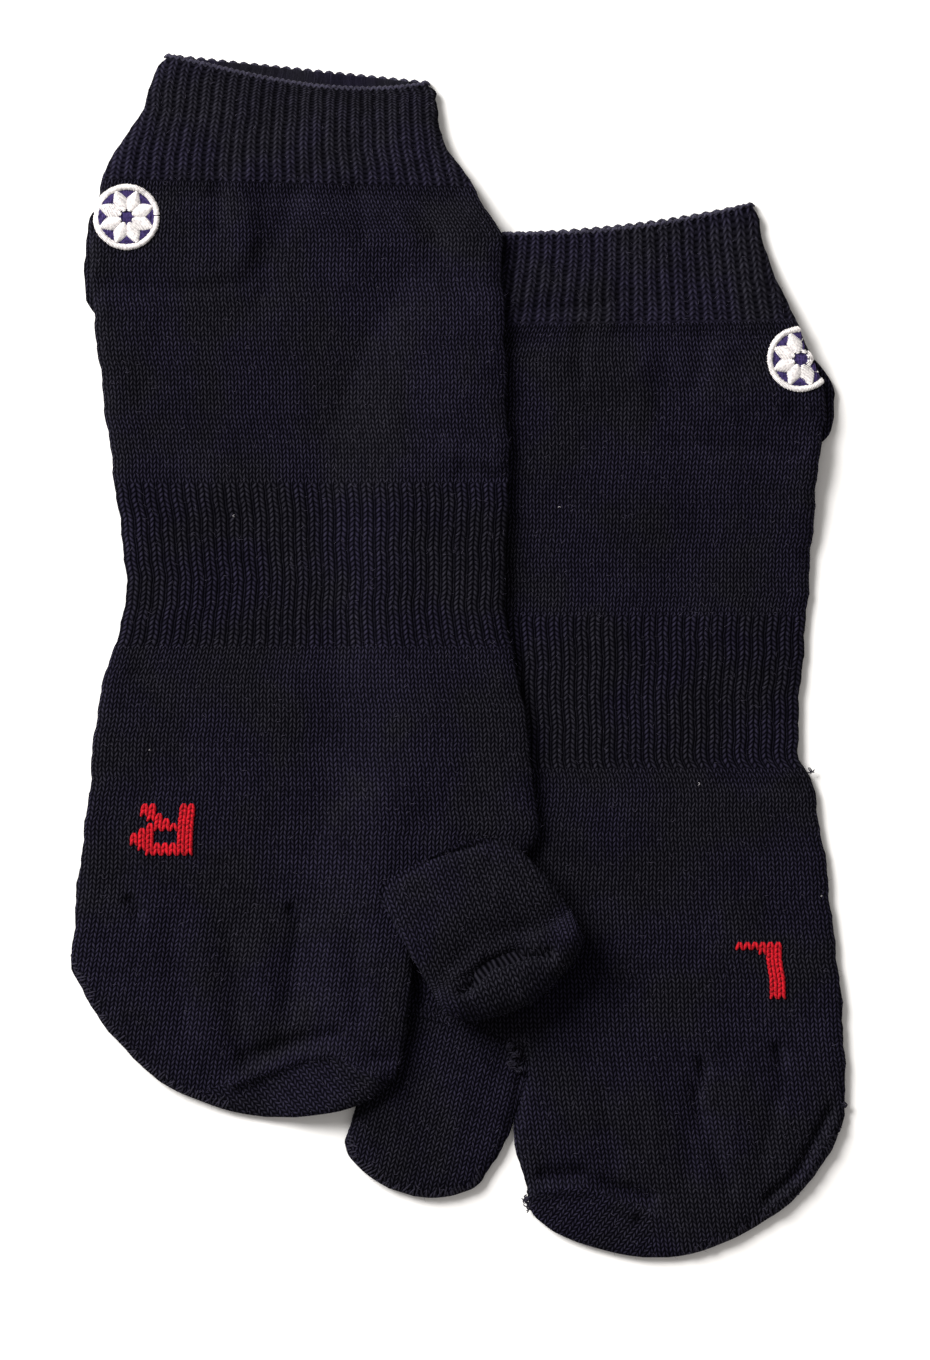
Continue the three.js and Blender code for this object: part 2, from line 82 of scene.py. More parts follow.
# The left sock's heel pouch
# Two layers of plain knit that the machine makes back and forth, to go round the heel. With the sock
# laid flat they lie folded beneath the leg, and show only past its side folds.
WALL = 1.4                     # one layer of cloth, in mm as all the sizes below
HOLLOW = 0.8                   # between the front layer and the back layer
LAYERS = 2 * WALL + HOLLOW
FOLD = 4.0                     # how far in from a side fold the cloth is rounded
NARROW = 0.3                   # the most of a narrow tube's width that one fold takes
TURNS = (0, 14, 28, 42, 56, 68, 79)
INSET = 1.15 * WALL            # from a side fold to the inner surface
INNER_STEP = 6.0
OUTLINE_STEP = 4.0
THINNEST = 0.3                 # half the thickness that a closed end keeps
THINNEST_HOLLOW = 0.1
RIM = 0.6                      # how far the turned rim of a cuff stands above its first ring
RIM_TURNS = (30, 60, 90, 120, 150)
RIM_BUMPS = 0.6                # how much higher than RIM it stands on a rib
RIB_MIDDLE = 0.4               # the share of a rib's height that lies below the plain cloth
RIB_SHAPE = 0.55               # below 1, a rib is broad and its furrow narrow
COURSE = 1.22                  # the height of one row of stitches
DIP_SHAPE = 0.8                # below 1, a dip is steeper at its ends
DIP_LEAN = 1.3                 # above 1, a dip is deepest right of the middle
POUCH = 3.0                    # the thickness of a heel pouch
POUCH_LAP = 0.3                # how far the leg's cloth sinks into it
POUCH_STEP = 2.0               # between two rings of its outer surface
POUCH_SPANS = (60, 30)         # faces across the front, and across the back
POUCH_WALE = 1.8               # the width of one of its stitches

# The columns of a tube's table. A row leaves out the last ones that are 0.
DOWN, LEFT, RIGHT, TILT, DIP, RIBBED = range(6)
# Each row: down from the top of the cuff, and across to the left fold and the right fold
LEFT_POUCH = [
    (35.0, -30.0, 33.0), (39.0, -38.0, 44.0), (45.0, -40.0, 48.0), (52.0, -40.5, 48.7),
    (56.0, -39.0, 48.2), (59.0, -34.0, 46.0), (61.5, -24.0, 34.0),
]
# How a side fold wavers: wave length and reach. The phase of each fold's waves: a start, and a shift
# that grows with their length
FOLD_WAVES = [(17.0, 0.20), (7.3, 0.13), (3.1, 0.07)]
FOLD_PHASES = [(LEFT, 0.7, 2), (RIGHT, 2.9, 3)]
# What cloth does by itself. Each row: wave length across and along, how high, and where it starts
SWELLS = [(41, 67, 0.14, 0.4), (-29, 38, 0.10, 1.9), (17, 55, 0.06, 3.1), (13, -21, 0.045, 5.0)]


class Ground:
    """A place on the floor with its own across and down, turned clockwise as seen from above."""

    def __init__(self, place, turn=0.0):
        c, s = math.cos(math.radians(turn)), math.sin(math.radians(turn))
        self.place = np.array(place, float)
        self.across = np.array([c, -s])
        self.down = np.array([-s, -c])

    def floor(self, across, down):
        return self.place + across[..., None] * self.across + down[..., None] * self.down

    def local(self, xy):
        offset = xy - self.place
        return np.stack([offset @ self.across, offset @ self.down], -1)


def smooth(rows, run, step):
    """A table's rows set closer together, each column on a smooth curve. run is each row's place on it."""
    gap = np.diff(run)
    rise = np.diff(rows, axis=0) / gap[:, None]
    bend = (rise[:-1] * gap[1:, None] + rise[1:] * gap[:-1, None]) / (gap[1:] + gap[:-1])[:, None]
    slope = np.vstack([rise[:1], bend, rise[-1:]])
    at = np.linspace(0, run[-1], int(run[-1] / step) + 2)
    i = np.clip(np.searchsorted(run, at, side="right") - 1, 0, len(gap) - 1)
    t = ((at - run[i]) / gap[i])[:, None]
    curve = slope[i] * t * (1 - t) ** 2 - slope[i + 1] * t ** 2 * (1 - t)
    return rows[i] + (rows[i + 1] - rows[i]) * t ** 2 * (3 - 2 * t) + gap[i][:, None] * curve


def in_parts(work, points):
    """Runs work on a few thousand points at a time, because each is compared with a whole outline."""
    flat = points.reshape(-1, 2)
    parts = [work(flat[n:n + 4000, None]) for n in range(0, len(flat), 4000)]
    return np.concatenate(parts).reshape(points.shape[:-1])


def distance(points, line):
    start, run = line[:-1], np.diff(line, axis=0)
    size = np.maximum((run ** 2).sum(1), 1e-9)

    def nearest(p):
        t = np.clip(((p - start) * run).sum(2) / size, 0, 1)
        return np.sqrt(((p - start - t[..., None] * run) ** 2).sum(2)).min(1)
    return in_parts(nearest, points)


def inside(points, outline):
    a, b = outline, np.roll(outline, 1, axis=0)
    lean = (b[:, 0] - a[:, 0]) / np.where(b[:, 1] == a[:, 1], 1e-9, b[:, 1] - a[:, 1])

    def odd(p):
        x, y = p[..., 0], p[..., 1]
        crosses = ((a[:, 1] > y) != (b[:, 1] > y)) & (x < lean * (y - a[:, 1]) + a[:, 0])
        return crosses.sum(1) % 2 == 1
    return in_parts(odd, points)


def ramp(t, low, high):
    t = np.clip((t - low) / (high - low), 0, 1)
    return t * t * (3 - 2 * t)


def rounded(away, reach):
    t = np.clip(away / reach, 0, 1)
    return np.sqrt(1 - (1 - t) ** 2)


def relief(points, creases):
    height = np.zeros(points.shape[:-1])
    for rise, reach, *line in creases:
        away = distance(points, np.array(line, float))
        height += rise * np.exp(-(away / reach) ** 2)
    for across, along, high, start in SWELLS:
        turn = 2 * math.pi * (points[..., 0] / across + points[..., 1] / along)
        height += high * np.sin(turn + start)
    return height


class Tube:
    """A knitted tube that lies flat on what is under it, worked out from a table of its rows. It has a
    front and a back layer, and a round fold on each side."""
    face = 1

    def __init__(self, table, ground, under, step, creases=(), thick=LAYERS, sink=(0, 1), sag=1.0):
        self.rows = self.spread(table, step)
        self.ground, self.under, self.creases, self.thick = ground, under, creases, thick
        self.sink, self.sag = sink, sag
        coarse = self.spread(table, OUTLINE_STEP)
        left, right = coarse[:, [LEFT, DOWN]], np.c_[coarse[:, RIGHT], coarse[:, DOWN] + coarse[:, TILT]]
        self.outline = np.vstack([left, right[::-1], left[:1]])
        self.edge = self.outline[:-1]

    def spread(self, table, step):
        """The table's rows set closer together, with their folds wavering a little."""
        table = np.array([row + (0,) * (RIBBED + 1 - len(row)) for row in table], float)
        sides = [np.hypot(np.diff(table[:, DOWN]), np.diff(table[:, n])) for n in (LEFT, RIGHT)]
        rows = smooth(table, np.r_[0, np.cumsum(np.maximum(*sides))], step)
        for column, start, shift in FOLD_PHASES:
            for length, reach in FOLD_WAVES:
                phase = 2 * math.pi * rows[:, DOWN] / length + start + shift * length
                rows[:, column] += reach * np.sin(phase)
        return rows

    def fold_lines(self, down):
        """Where the left and the right fold lie, at places down the tube."""
        return (np.interp(down, self.rows[:, DOWN], self.rows[:, n]) for n in (LEFT, RIGHT))

    def row_down(self, row, f, dip):
        """How far down a row of the tube lies at fractions of its width."""
        return row[..., [DOWN]] + row[..., [TILT]] * np.clip(f, 0, 1) ** self.sag + dip * dipped(f)

    def open_into(self, other):
        """Leaves the edge unrounded where it runs inside another tube that it grows out of."""
        across_down = other.ground.local(self.ground.floor(self.edge[:, 0], self.edge[:, 1]))
        self.edge = self.edge[~inside(across_down, other.outline)]

    def place(self, across, down, height):
        xy = self.ground.floor(across, down)
        return np.concatenate([xy, (self.under(xy) + LAYERS / 2 + height)[..., None]], -1)

    def lie(self, across, down, side, thick=None, start=0.0, rib=0.0, fold=False):
        """Places on the tube: side is 1 on the front and -1 on the back."""
        thick = thick or self.thick
        points = np.stack([across, down], -1)
        full = rounded(distance(points, self.edge) - start, FOLD - start)
        thinnest = THINNEST if start == 0 else THINNEST_HOLLOW
        half = np.where(fold, 0, np.maximum(thick / 2 * full, thinnest))
        shape = (relief(points, self.creases) + rib) * full * np.where(side == self.face, self.face, 0)
        sunk = self.sink[0] * (1 - ramp(down, 0, self.sink[1]))
        return self.place(across, down, side * half + shape - sunk)

    def normal(self, across, down, reach=0.5):
        """Straight out of the front."""
        one = np.ones_like(across)
        x = self.lie(across + reach, down, one) - self.lie(across - reach, down, one)
        y = self.lie(across, down - reach, one) - self.lie(across, down + reach, one)
        out = np.cross(x, y)
        return out / np.linalg.norm(out, axis=-1, keepdims=True)


def rib_shape(phase):
    return (0.5 - 0.5 * np.cos(2 * math.pi * phase)) ** RIB_SHAPE


def dipped(f):
    """How much of a row's dip each place across it takes, the most a little right of the middle."""
    return np.sin(math.pi * np.clip(f, 0, 1) ** DIP_LEAN) ** DIP_SHAPE


def fractions(rows, spans):
    """Fractions across each row, front from left to right and then back, and which are on the front."""
    width = rows[:, RIGHT] - rows[:, LEFT]
    reach = np.minimum(FOLD, NARROW * width)[:, None] / width[:, None]
    turn = 1 - np.cos(np.radians(TURNS))
    layers = []
    for count in spans:
        even = reach + (1 - 2 * reach) * np.linspace(0, 1, count + 1)
        layers.append(np.hstack([reach * turn, even, 1 - reach * turn[::-1]]))
    f = np.hstack([layers[0], layers[1][:, ::-1][:, 1:-1]])
    return f, np.arange(f.shape[1]) < layers[0].shape[1]


def zipped(front, back, f):
    """Triangles that close a flat tube's end, between its front and its back, left to right."""
    faces, i, j = [(front[1], front[0], back[1])], 1, 1
    while i < len(front) - 2 or j < len(back) - 2:
        if j == len(back) - 2 or (i < len(front) - 2 and f[front[i + 1]] < f[back[j + 1]]):
            faces.append((front[i + 1], front[i], back[j]))
            i += 1
        else:
            faces.append((back[j], back[j + 1], front[i]))
            j += 1
    return np.array(faces + [(front[-1], front[i], back[j])])


def ring_mesh(name, rings, f, front, stitches, marks):
    """Joins rings of equally many points, and closes both ends, into a mesh in metres. stitches
    holds the knit's place at the four corners of each face, and marks a number for each face."""
    count, around = rings.shape[:2]
    k = np.arange(around)
    nxt = (k + 1) % around
    r = np.arange(count - 1)[:, None] * around
    quads = np.stack([r + k, r + nxt, r + around + nxt, r + around + k], -1).reshape(-1, 4)
    seam = zipped(k[:front], np.r_[0, k[:front - 1:-1], front - 1], f)
    ends = np.vstack([seam, seam[:, ::-1] + (count - 1) * around])
    points = rings.reshape(-1, 3) * MM + SHIFT
    a, b, c = (points[quads[:, n]] for n in (0, 1, 2))
    stitches = stitches.reshape(-1, 4, 2)
    if np.einsum("ij,ij->i", a, np.cross(b, c)).sum() < 0:
        quads, ends, stitches = quads[:, ::-1], ends[:, ::-1], stitches[:, ::-1]
    mesh = bpy.data.meshes.new(name)
    mesh.from_pydata(points, [], quads.tolist() + ends.tolist())
    end_corners = 3 * len(ends)
    uv = np.vstack([stitches.reshape(-1, 2), np.zeros((end_corners, 2))]).astype(np.float32)
    mesh.uv_layers.new(name="stitches").data.foreach_set("uv", uv.ravel())
    for key, values in marks.items():
        at_corners = np.r_[np.repeat(values.ravel(), 4), np.zeros(end_corners)].astype(np.float32)
        mesh.attributes.new(key, "FLOAT", "CORNER").data.foreach_set("value", at_corners)
    mesh.polygons.foreach_set("use_smooth", [True] * len(mesh.polygons))
    return placed(name, mesh)


def corners(values):
    """The values at the four corners of each face between rings."""
    nxt = np.roll(values, -1, axis=1)
    return np.stack([values[:-1], nxt[:-1], nxt[1:], values[1:]], -1)


def knitted(name, tube, spans, knit, depth, rim=False):
    """A tube as one closed shell: its inner surface as far as depth, its rim and its outer surface.
    knit gives the stitches' places, and how far each face is cuff, arch and furrow."""
    rows = tube.rows
    f, front = fractions(rows, spans)
    start, left, right, ribbed = (rows[:, [n]] for n in (DOWN, LEFT, RIGHT, RIBBED))
    side = np.where(front, 1, -1)
    fold = np.zeros(f.shape[1], bool)
    fold[[0, front.sum() - 1]] = True
    x = left + (right - left) * f
    crest = rib_shape(knit.rib_place(x, start, left, right)) * front
    rib = knit.rib_height(start) * ribbed * (crest - RIB_MIDDLE)
    down = tube.row_down(rows, f, rows[:, [DIP]] * front)
    outer = tube.lie(x, down, side, rib=rib, fold=fold)
    kept = [0]
    for n in range(1, len(rows)):
        if start[kept[-1]] + INNER_STEP <= start[n] < depth:
            kept.append(n)
    inset = left + INSET + (right - left - 2 * INSET) * f
    hollow = HOLLOW * tube.thick / LAYERS
    inner = tube.lie(inset[kept], down[kept], side, thick=hollow, start=WALL, fold=fold)
    edge = []
    for angle in np.radians(RIM_TURNS) if rim else []:
        up = np.r_[-tube.ground.down, 0] * RIM * math.sin(angle)
        bumps = 1 + RIM_BUMPS * rib_shape(knit.rib_place(x[:1], start[:1], left[:1], right[:1])[0])
        share = 0.5 - 0.5 * math.cos(angle)
        edge.append(inner[0] + (outer[0] - inner[0]) * share + bumps[:, None] * up)
    rings = np.concatenate([inner[::-1], *[ring[None] for ring in edge], outer])
    hidden = len(rings) - len(outer)

    def at_faces(values):
        """The values at each face's corners. The hidden rings have those of the first outer ring."""
        values = np.broadcast_to(values, x.shape)
        return corners(np.concatenate([np.repeat(values[:1], hidden, 0), values]))
    places = (at_faces(values) for values in (x, start, left, right))
    wale, course, cuff, arch = knit.places(*places, front[None, :, None])
    # How far each face lies in a furrow between the ribs, where the material paints shade
    furrow = at_faces(ribbed * (1 - crest) * front).mean(-1)
    outermost = np.arange(len(rings) - 1)[:, None] >= hidden
    marks = {"cuff": cuff, "arch": arch, "furrow": furrow, "outermost": outermost * np.ones_like(cuff)}
    return ring_mesh(name, rings, f[0], front.sum(), np.stack([wale, course], -1), marks)


class PlainKnit:
    """Plain knit whose wales run straight down the tube, or lean to one side of it."""

    def __init__(self, pitch, lean=0.0):
        self.pitch, self.lean = pitch, math.tan(math.radians(lean))

    def rib_place(self, x, down, left, right):
        return np.zeros(x.shape)

    def rib_height(self, down):
        return np.zeros_like(down)

    def places(self, x, down, left, right, front):
        none = np.zeros(x.shape[:2])
        return (x - down * self.lean) / self.pitch, down / COURSE, none, none


def on_floor(xy):
    return np.zeros(xy.shape[:-1])


def below_pouch(xy):
    """What lifts a pouch, which is thinner than two layers, so that its back rests on the floor."""
    return POUCH / 2 - LAYERS / 2 + on_floor(xy)


class Sum:
    """A number inside a node tree, so that a pattern can be written as arithmetic."""

    def __init__(self, tree, socket):
        self.tree, self.socket = tree, socket

    def math(self, operation, *others):
        made = self.tree.nodes.new("ShaderNodeMath")
        made.operation = operation
        for slot, value in zip(made.inputs, (self, *others)):
            if isinstance(value, Sum):
                self.tree.links.new(value.socket, slot)
            else:
                slot.default_value = value
        return Sum(self.tree, made.outputs[0])

    def __add__(self, other):
        return self.math("ADD", other)

    def __sub__(self, other):
        return self.math("SUBTRACT", other)

    def __mul__(self, other):
        return self.math("MULTIPLY", other)

    def __pow__(self, other):
        return self.math("POWER", other)

    def __abs__(self):
        return self.math("ABSOLUTE")

    def fraction(self):
        return self.math("FRACT")

    def arch(self, power=1.0):
        """0 at 0, 1 at a half and 0 at 1."""
        return (self.math("MAXIMUM", 0.0).math("MINIMUM", 1.0) * math.pi).math("SINE") ** power

    def between(self, low, high):
        """From 0 at low to 1 at high, without corners."""
        made = self.tree.nodes.new("ShaderNodeMapRange")
        made.interpolation_type = "SMOOTHSTEP"
        made.inputs["From Min"].default_value, made.inputs["From Max"].default_value = low, high
        self.tree.links.new(self.socket, made.inputs["Value"])
        return Sum(self.tree, made.outputs["Result"])

    def mixed(self, other, share):
        return self + (other - self) * share


def add_node(tree, kind, inputs, **settings):
    """A new node, with a value on each input or a link into it."""
    made = tree.nodes.new(kind)
    for key, value in settings.items():
        setattr(made, key, value)
    for key, value in inputs.items():
        if isinstance(value, bpy.types.NodeSocket):
            tree.links.new(value, made.inputs[key])
        else:
            made.inputs[key].default_value = value
    return made


def noise(tree, scale, detail):
    """A soft random value from 0 to 1 for each place on a piece. scale is in waves to the metre."""
    here = add_node(tree, "ShaderNodeTexCoord", {}).outputs["Object"]
    made = add_node(tree, "ShaderNodeTexNoise", {"Vector": here, "Scale": scale, "Detail": detail})
    return Sum(tree, made.outputs["Fac"])


def blend(tree, share, first, second):
    """Mixes two colours, or the colours from two nodes."""
    made = add_node(tree, "ShaderNodeMix", {}, data_type="RGBA")
    slots = [slot for slot in made.inputs if slot.type == "RGBA"]
    tree.links.new(share.socket, made.inputs["Factor"])
    for slot, colour in zip(slots, (first, second)):
        if isinstance(colour, bpy.types.NodeSocket):
            tree.links.new(colour, slot)
        else:
            slot.default_value = (*colour, 1)
    return next(slot for slot in made.outputs if slot.type == "RGBA")


STITCH_GAP_PAINTED_SHADE = (0.0006, 0.0005, 0.0012)     # painted shade, nearly black, between the stitches
NAVY = (0.0215, 0.0192, 0.0372)
WORN = (0.0198, 0.0190, 0.0270)
STITCH_RELIEF = 0.45 * MM
HAIR_RELIEF = 0.05 * MM
STRAY = (0.26, 0.4)            # how far a stitch strays sideways and down, in stitches
LEG_SLANT = 0.9                # how much further down a leg of yarn lies at its foot, in courses
CUFF_LEG = 0.84                # how wide the two legs spread in the cuff
ARCH_LEG = (0.57, 0.42)        # in the arch band: the middle of the wide wale, and how wide it spreads
ARCH_LINE = 0.15               # and the width of the thin line beside it
# How finely each random pattern changes, in waves to the metre
STRAY_WAVES = (260, 330)
HAIR_WAVES = 2600
PATCH_WAVES = 46
SHADE_WAVES = 95
LIGHT_POWER = 1.85             # above 1, only the tops of the yarn are bright, and the rest takes the painted shade
LIGHT = 1.24
FURROW_PAINTED_SHADE = -0.25           # painted shade in the furrows between the ribs (below 0 darkens them), and painted sheen that lightens the cuff
CUFF_PAINTED_SHEEN = 0.1


def surface(name, settings):
    """A new material, its node tree and its shader, with settings on the shader's own sockets."""
    made = bpy.data.materials.new(name)
    made.use_nodes = True
    shader = made.node_tree.nodes["Principled BSDF"]
    for key, value in settings.items():
        shader.inputs[key].default_value = value
    return made, made.node_tree, shader


def knit_material():
    """Navy cotton knit. Each stitch is two legs of yarn that spread downwards from a point."""
    made, tree, shader = surface("navy_cotton_knit", {
        "Roughness": 0.95, "Specular IOR Level": 0.01, "Sheen Weight": 0.012, "Sheen Roughness": 0.5,
        "Sheen Tint": (0.75, 0.78, 1, 1),
    })
    uv = add_node(tree, "ShaderNodeUVMap", {}, uv_map="stitches").outputs["UV"]
    split = add_node(tree, "ShaderNodeSeparateXYZ", {"Vector": uv})
    u = Sum(tree, split.outputs["X"]) + (noise(tree, STRAY_WAVES[0], 1.0) - 0.5) * STRAY[0]
    v = Sum(tree, split.outputs["Y"]) + (noise(tree, STRAY_WAVES[1], 1.0) - 0.5) * STRAY[1]
    marks = []
    for key in ("cuff", "arch", "furrow"):
        mark = add_node(tree, "ShaderNodeAttribute", {}, attribute_name=key).outputs["Fac"]
        marks.append(Sum(tree, mark))
    cuff, in_arch, furrow = marks

    # How far out from the middle of a wale: 0 there and 1 at its side
    plain = abs(u.fraction() - 0.5) * 2.0
    cuff_leg = plain * (1 / CUFF_LEG)
    pair = (u * 0.5).fraction()
    arch_leg = abs(pair - ARCH_LEG[0]) * (1 / ARCH_LEG[1])
    leg = plain.mixed(cuff_leg, cuff).mixed(arch_leg, in_arch)
    row = v - leg.math("MINIMUM", 1.0) * LEG_SLANT
    # The height of the yarn: a ridge along each leg, and between the ribs the bars that join them
    height = leg.arch(0.8) * (row.fraction().arch(0.8) * 0.88 + 0.12)
    height = height.math("MAXIMUM", v.fraction().arch(0.8) * 0.5 * cuff)
    line = (pair * (1 / ARCH_LINE)).arch(0.8) * (v.fraction().arch(0.5) * 0.3 + 0.3)
    height = height.math("MAXIMUM", line * in_arch)
    # Each leg stands a little higher or lower than the next
    cell = add_node(tree, "ShaderNodeCombineXYZ", {
        "X": (u * 2.0).math("FLOOR").socket, "Y": row.math("FLOOR").socket,
    })
    chance = add_node(tree, "ShaderNodeTexWhiteNoise", {"Vector": cell.outputs[0]}).outputs["Value"]
    height = height * (Sum(tree, chance) * 0.3 + 0.75)

    # The colour: painted shade, nearly black, between the stitches, and navy with worn patches on top of them
    hairs = noise(tree, HAIR_WAVES, 3.0)
    yarn = blend(tree, noise(tree, PATCH_WAVES, 3.0).between(0.42, 0.62), NAVY, WORN)
    light = height ** LIGHT_POWER * LIGHT * (hairs * 1.5 + 0.25)
    light = light * (noise(tree, SHADE_WAVES, 2.0) * 0.8 + 0.6)
    # Painted shade darkens the furrows between the ribs, and painted sheen lightens the cuff
    light = light * (furrow * FURROW_PAINTED_SHADE + 1.0) * (cuff * CUFF_PAINTED_SHEEN + 1.0)
    tree.links.new(blend(tree, light, STITCH_GAP_PAINTED_SHADE, yarn), shader.inputs["Base Color"])

    loops_bump = add_node(tree, "ShaderNodeBump", {"Height": height.socket, "Distance": STITCH_RELIEF})
    hair_bump = add_node(tree, "ShaderNodeBump", {
        "Height": hairs.socket, "Distance": HAIR_RELIEF, "Normal": loops_bump.outputs["Normal"],
    })
    tree.links.new(hair_bump.outputs["Normal"], shader.inputs["Normal"])
    return made


navy_knit = knit_material()


def cloth(piece, node):
    """Gives a piece the navy knit, hangs it from the root body, and hides the part that it stands for."""
    piece.data.materials.append(navy_knit)
    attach(piece, "root")
    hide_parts(node)


# From the floor's own millimetres to the part's frame, which is centred on the two socks' box
TABLE_LEFT = -96.3
TABLE_TOP = 149.7
SHIFT = np.array([cad_box[0][0] - TABLE_LEFT * MM, cad_box[1][1] - TABLE_TOP * MM, 0])

left_ground = Ground((45.4, 112.7))
left_pouch = Tube(LEFT_POUCH, left_ground, below_pouch, POUCH_STEP, thick=POUCH)
left_heel = knitted("left_heel", left_pouch, POUCH_SPANS, PlainKnit(POUCH_WALE), depth=50)
cloth(left_heel, "sock_left")


# The left sock's foot
# One tube of plain knit in navy cotton, from the ribbed cuff to the toe pocket for four toes. It is
# knitted round on a small machine, closed by linking at the toe, and lies flat with its back below.
STEP = 1.3                     # between two rings of the outer surface
FOOT_SPANS = (203, 60)
INNER_DEPTH = 190.0            # how far down the inner surface is made
DRAPE = 24.0                   # the width of the slope where a sock climbs over another
POUCH_DRAPE = 34.0             # and where it sinks beside its own pouch
LIFT_EDGE = 1.0                # how far beside the lower sock that slope starts
WALES = 58                     # stitches across the front layer below the cuff
CUFF_RIB = 0.5                 # the height of a rib in the cuff, and in the arch band
ARCH_RIB = 0.17
STRAIGHT = 0.6                 # how far the cuff's ribs keep straight on where its side folds flare
CUFF_END = 30.5                # down from the rim, where the stitches of the cuff stop
CUFF_FADE = 5.0                # and how much further its ribs go on while they fade out
TOE_EASE = 20.0                # the length over which the toe's wales start to lean
LEFT_SAG = 2.0                 # above 1, a tilted row runs level first and climbs towards the right

# Each row: down from the top of the cuff, the left fold, the right fold, how much further down the row
# lies at the right fold, how far the front dips below the back, and 1 where it is ribbed
LEFT_FOOT = [
    (8.2, -39.0, 28.2, -7.5, 0.8, 1), (9.8, -39.6, 29.4, -6.8, 0.8, 1),
    (12.9, -40.8, 30.3, -5.0, 0.5, 1), (19.0, -43.6, 33.2, -3.0, 0, 1),
    (26.5, -48.8, 37.2, -1.0, 0, 1), (29.5, -51.2, 38.6, -1.0, 0, 0.4), (35.0, -54.4, 41.2, -1.0),
    (43.0, -57.6, 44.8), (52.0, -58.0, 46.4), (61.0, -57.4, 45.0), (72.0, -57.2, 44.0),
    (87.0, -57.4, 42.8), (101.0, -57.2, 41.8), (105.0, -57.0, 41.5, 0, 0, 1),
    (118.0, -56.0, 40.4, 0, 0, 1), (131.0, -55.2, 39.6, 0, 0, 1), (139.0, -55.0, 40.2, 0, 0, 1),
    (143.0, -55.4, 42.6), (152.0, -57.2, 44.4), (165.0, -60.4, 46.6), (180.0, -61.8, 48.2),
    (194.0, -63.0, 50.0), (200.0, -60.0, 50.5), (204.5, -49.0, 50.8), (208.0, -34.5, 51.0),
    (212.5, -28.4, 51.2), (220.0, -29.0, 51.3), (227.0, -31.0, 51.3), (232.0, -31.7, 49.6),
    (238.0, -30.5, 47.0), (243.5, -28.4, 43.0), (248.5, -28.0, 38.4), (252.5, -26.6, 33.4),
    (256.0, -22.2, 28.0), (259.0, -15.8, 22.0), (261.3, -8.6, 16.0), (262.6, -2.4, 10.6),
    (263.0, 1.0, 7.0),
]
# Soft troughs and ridges on the front. Each row: how high, how wide, and its line across and down
LEFT_CREASES = [
    (-1.5, 1.3, (-28.6, 211), (-29, 215), (-31, 227), (-31.7, 233)),
    (-0.9, 2.4, (-34, 33.5), (-6, 33), (22, 32.5), (36, 33.5)), (-0.9, 2.4, (-14, 32), (-15, 44)),
    (-1.0, 3.0, (16, 34), (14, 46)), (0.8, 3.0, (2, 38), (0, 52)), (-0.8, 1.8, (10, 60), (40, 62)),
    (-2.0, 1.5, (15.5, 214.5), (16.4, 216.8)), (-1.8, 1.5, (34.5, 211), (35.6, 214)),
    (-1.05, 1.2, (-30, 26.4), (-9, 25.6)), (-0.73, 2.6, (-8.5, 222), (-7, 241)),
    (0.58, 3, (3, 218), (4, 238)), (-0.89, 2.8, (13.5, 220), (12, 243)),
    (0.52, 3.2, (25.5, 217), (22.5, 240)), (-0.73, 2.4, (35.5, 218), (30.5, 238)),
    (-1.16, 1.8, (38, 52), (46, 57)), (0.84, 2.2, (35, 46), (44, 50.5)), (0.73, 5, (-20, 38), (-5, 44)),
    (-0.63, 4, (12, 36), (24, 42)), (0.63, 9, (-30, 158), (20, 152)), (-0.52, 7, (8, 170), (30, 182)),
    (-0.52, 4, (-45, 120), (-40, 150)), (-0.73, 2.6, (-2, 30), (6, 37)),
    (-0.84, 1.4, (20, 144.5), (40, 145.5)),
    (-2.1, 2.1, (-24, 242.8), (-14, 242.2), (-9, 245), (2, 249)),
    (2.0, 1.4, (-27, 246.6), (-20, 245.6), (-13, 245.8), (-8.5, 248.3), (-2, 252)),
    (-1.5, 1.8, (14.5, 222), (15.8, 231), (19.5, 238), (22.5, 245.7)),
    (-0.8, 2.0, (-8.5, 245.2), (-3, 246.2), (4, 248)),
    (-1.6, 1.5, (48, 226), (46.2, 229), (42.2, 236.7), (39.5, 242), (32, 248.5)),
    (1.1, 1.3, (49.5, 229), (44.6, 238.4), (41, 243.6), (33.5, 250.5)),
]


